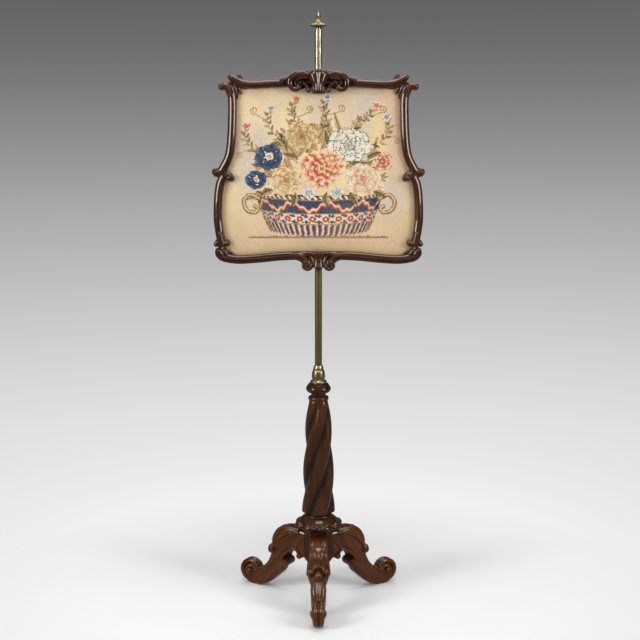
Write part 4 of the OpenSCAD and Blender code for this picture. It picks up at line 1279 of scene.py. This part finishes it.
def make_needlework():
    """One raised stitch to each cell of the canvas, each in one wool."""
    (x, z), (corner_x, corner_z), cells = cloth_cells(STITCH, STITCH_LIP)
    wave = lambda px, pz: NEEDLEWORK_Y + 0.25 * ripple(px, pz, 7, 160)
    tension = STITCH_RISE * (0.7 + 0.5 * chance(x, z, 1))
    points = np.r_[np.c_[corner_x, wave(corner_x, corner_z), corner_z + SIGHT_Z],
                   np.c_[x + 0.2, wave(x, z) - tension, z + 0.2 + SIGHT_Z]]
    top = len(corner_x) + np.arange(len(x))
    faces = [np.stack([cells[:, k], cells[:, (k + 1) % 4], top], 1) for k in range(4)]
    piece = mesh_object("needlework_panel", [(points, np.concatenate(faces).tolist())])
    colour = needlework_design(x, z) * (0.92 + 0.16 * chance(x, z, 2))[:, None]
    rows = np.tile(np.c_[np.clip(colour, 0, 1), np.ones(len(x))], (4, 1))
    add_attribute(piece.data, "wool", "FLOAT_COLOR", np.repeat(rows, 3, 0), "CORNER")
    settle(piece, "needlework", "screen", wool_material())
    stretch(corner_x, corner_z, cells)


def make_back_cloth():
    """The cloth over the back of the board, drawn a little slack."""
    _, (x, z), cells = cloth_cells(LINING_STEP, LINING_LIP)
    slack = 0.35 * ripple(x, z, 4, 130) + 0.12 * ripple(x, z, 9, 34)
    points = np.c_[x, LINING_Y + slack, z + SIGHT_Z]
    piece = mesh_object("back_lining", [(points, cells[:, ::-1].tolist())])
    settle(piece, "back_cloth", "screen", backing_material())
    stretch(x, z, cells)


make_needlework()
make_back_cloth()


# SOLIDS THAT STAY

SHARP_EDGE = math.radians(32)
NODE_MATERIALS = [
    (turned_walnut, "hub knop"), (plain_wood, "corner_dowels mount_board"), (pole_brass, "pole"),
    (brass, "ferrule finial turn_buttons button_screws upper_bracket lower_bracket bracket_screws "
            "clamp_pad thumbscrew")]
for material, nodes in NODE_MATERIALS:
    for node in nodes.split():
        coat(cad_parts[node], material)
        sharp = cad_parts[node].modifiers.new("edges", "EDGE_SPLIT")
        sharp.split_angle = SHARP_EDGE


# STUDIO
# Lengths are metres, apart from FLOOR_MM, which keeps the floor just clear of the feet.

CAMERA_PLACE = (0.004, -3.1, 1.228)
CAMERA_PITCH = 9.03
CAMERA_LENS = 69.47
CAMERA_SENSOR = 36
WALL_R = 6.0
WALL_H = 4.0
STAGE_SIDES = 96
FLOOR_MM = -0.4
GLOW_CENTRE = (0, 0.25, 0)
MIRROR_SHARE = 0.22
# Place, target, size and power
LAMPS = {
    "softbox_left": ((-2.05, -1.38, 1.6), (0, 0, 1.0), (0.7, 1.3), 38),
    "softbox_right": ((2.05, -1.38, 1.6), (0, 0, 1.0), (0.65, 1.3), 32),
    "overhead": ((0.1, -0.6, 2.8), (0, 0, 0.3), (1.2, 0.8), 18),
    "front_top": ((0, -3.6, 2.3), (0, 0, 0.6), (2.4, 0.9), 13),
    "rear": ((0, 1.7, 3.3), (0, 0, 0.9), (3.0, 2.0), 33)}


def make_camera():
    data = bpy.data.cameras.new("camera")
    data.sensor_width = CAMERA_SENSOR
    data.lens = CAMERA_LENS
    camera = link("camera", data)
    camera.location = CAMERA_PLACE
    camera.rotation_euler = (math.radians(90 - CAMERA_PITCH), 0, 0)
    bpy.context.scene.camera = camera


def stage_piece(name, outline):
    """A turned stage surface with its shader, and whether the camera or a mirror sees it."""
    piece = mesh_object(name, [lathe(outline, STAGE_SIDES, caps=False)])
    s = Shader(name)
    piece.data.materials.append(s.material)
    camera, mirror, glass = (s.add("LightPath", {}, f"Is {kind} Ray")
                             for kind in ("Camera", "Glossy", "Transmission"))
    return piece, s, camera, s.math("MAXIMUM", mirror, glass)


def glow(s, colour, camera_ray, mirror_ray):
    """Light that the camera sees in full, and mirrors and glass dimmer."""
    strength = s.math("ADD", camera_ray, s.times(mirror_ray, MIRROR_SHARE))
    return s.add("Emission", {"Color": colour, "Strength": strength}, "Emission")


def make_floor():
    """A pale floor that keeps the object's shadow and fades into the backdrop further off."""
    outline = [(0.1, FLOOR_MM), (WALL_R / MM, FLOOR_MM)]
    _, s, camera_ray, mirror_ray = stage_piece("floor", outline)
    off_centre = s.add("VectorMath", {0: s.place(), 1: GLOW_CENTRE}, "Value", operation="DISTANCE")
    distance = s.add("VectorMath", {0: s.place()}, "Value", operation="LENGTH")
    fade = s.ramp(s.math("DIVIDE", off_centre, WALL_R), (0.0, 0.97), (0.06, 0.95), (0.137, 0.86),
                  (0.228, 0.79), (0.348, 0.74), (0.525, 0.665), (0.725, 0.6), (0.96, 0.546))
    far = glow(s, fade, camera_ray, mirror_ray)
    lift = s.add("Emission", {"Color": (1, 1, 1, 1), "Strength": s.times(camera_ray, 0.03)}, 0)
    s.set(Base_Color=(0.93, 0.93, 0.93, 1), Roughness=0.9)
    near = s.add("AddShader", {0: s.surface.outputs["BSDF"], 1: lift}, "Shader")
    away = s.times(s.ramp(distance, (0.45, 0.0), (0.95, 1.0)), camera_ray)
    away = s.math("MAXIMUM", away, mirror_ray)
    s.show(s.add("MixShader", {0: away, 1: near, 2: far}, "Shader"))


def make_wall():
    """The backdrop all round, grey above and pale at the floor. It lights nothing."""
    outline = [(WALL_R / MM, FLOOR_MM), (WALL_R / MM, WALL_H / MM)]
    wall, s, camera_ray, mirror_ray = stage_piece("backdrop", outline)
    grey = s.ramp(s.math("DIVIDE", s.axis("Z"), WALL_H), (0.0, 0.546), (0.095, 0.456),
                  (0.169, 0.387), (0.2415, 0.31), (0.314, 0.246), (0.385, 0.191), (0.455, 0.15),
                  (0.525, 0.127), (1.0, 0.07))
    s.show(glow(s, grey, camera_ray, mirror_ray))
    wall.visible_diffuse = False
    wall.visible_shadow = False


def make_lamp(name, place, target, size, power):
    data = bpy.data.lights.new(name, "AREA")
    data.shape = "RECTANGLE"
    data.size, data.size_y = size
    data.energy = power
    lamp = link(name, data)
    lamp.location = place
    lamp.rotation_euler = (Vector(target) - Vector(place)).to_track_quat("-Z", "Y").to_euler()
    lamp.visible_camera = False


def make_world():
    world = bpy.data.worlds.new("studio")
    world.use_nodes = True
    world.node_tree.nodes["Background"].inputs["Color"].default_value = (0.13, 0.13, 0.13, 1)
    bpy.context.scene.world = world
    bpy.context.scene.view_settings.view_transform = "Standard"


make_camera()
make_floor()
make_wall()
for name, settings in LAMPS.items():
    make_lamp(name, *settings)
make_world()
bpy.context.view_layer.update()
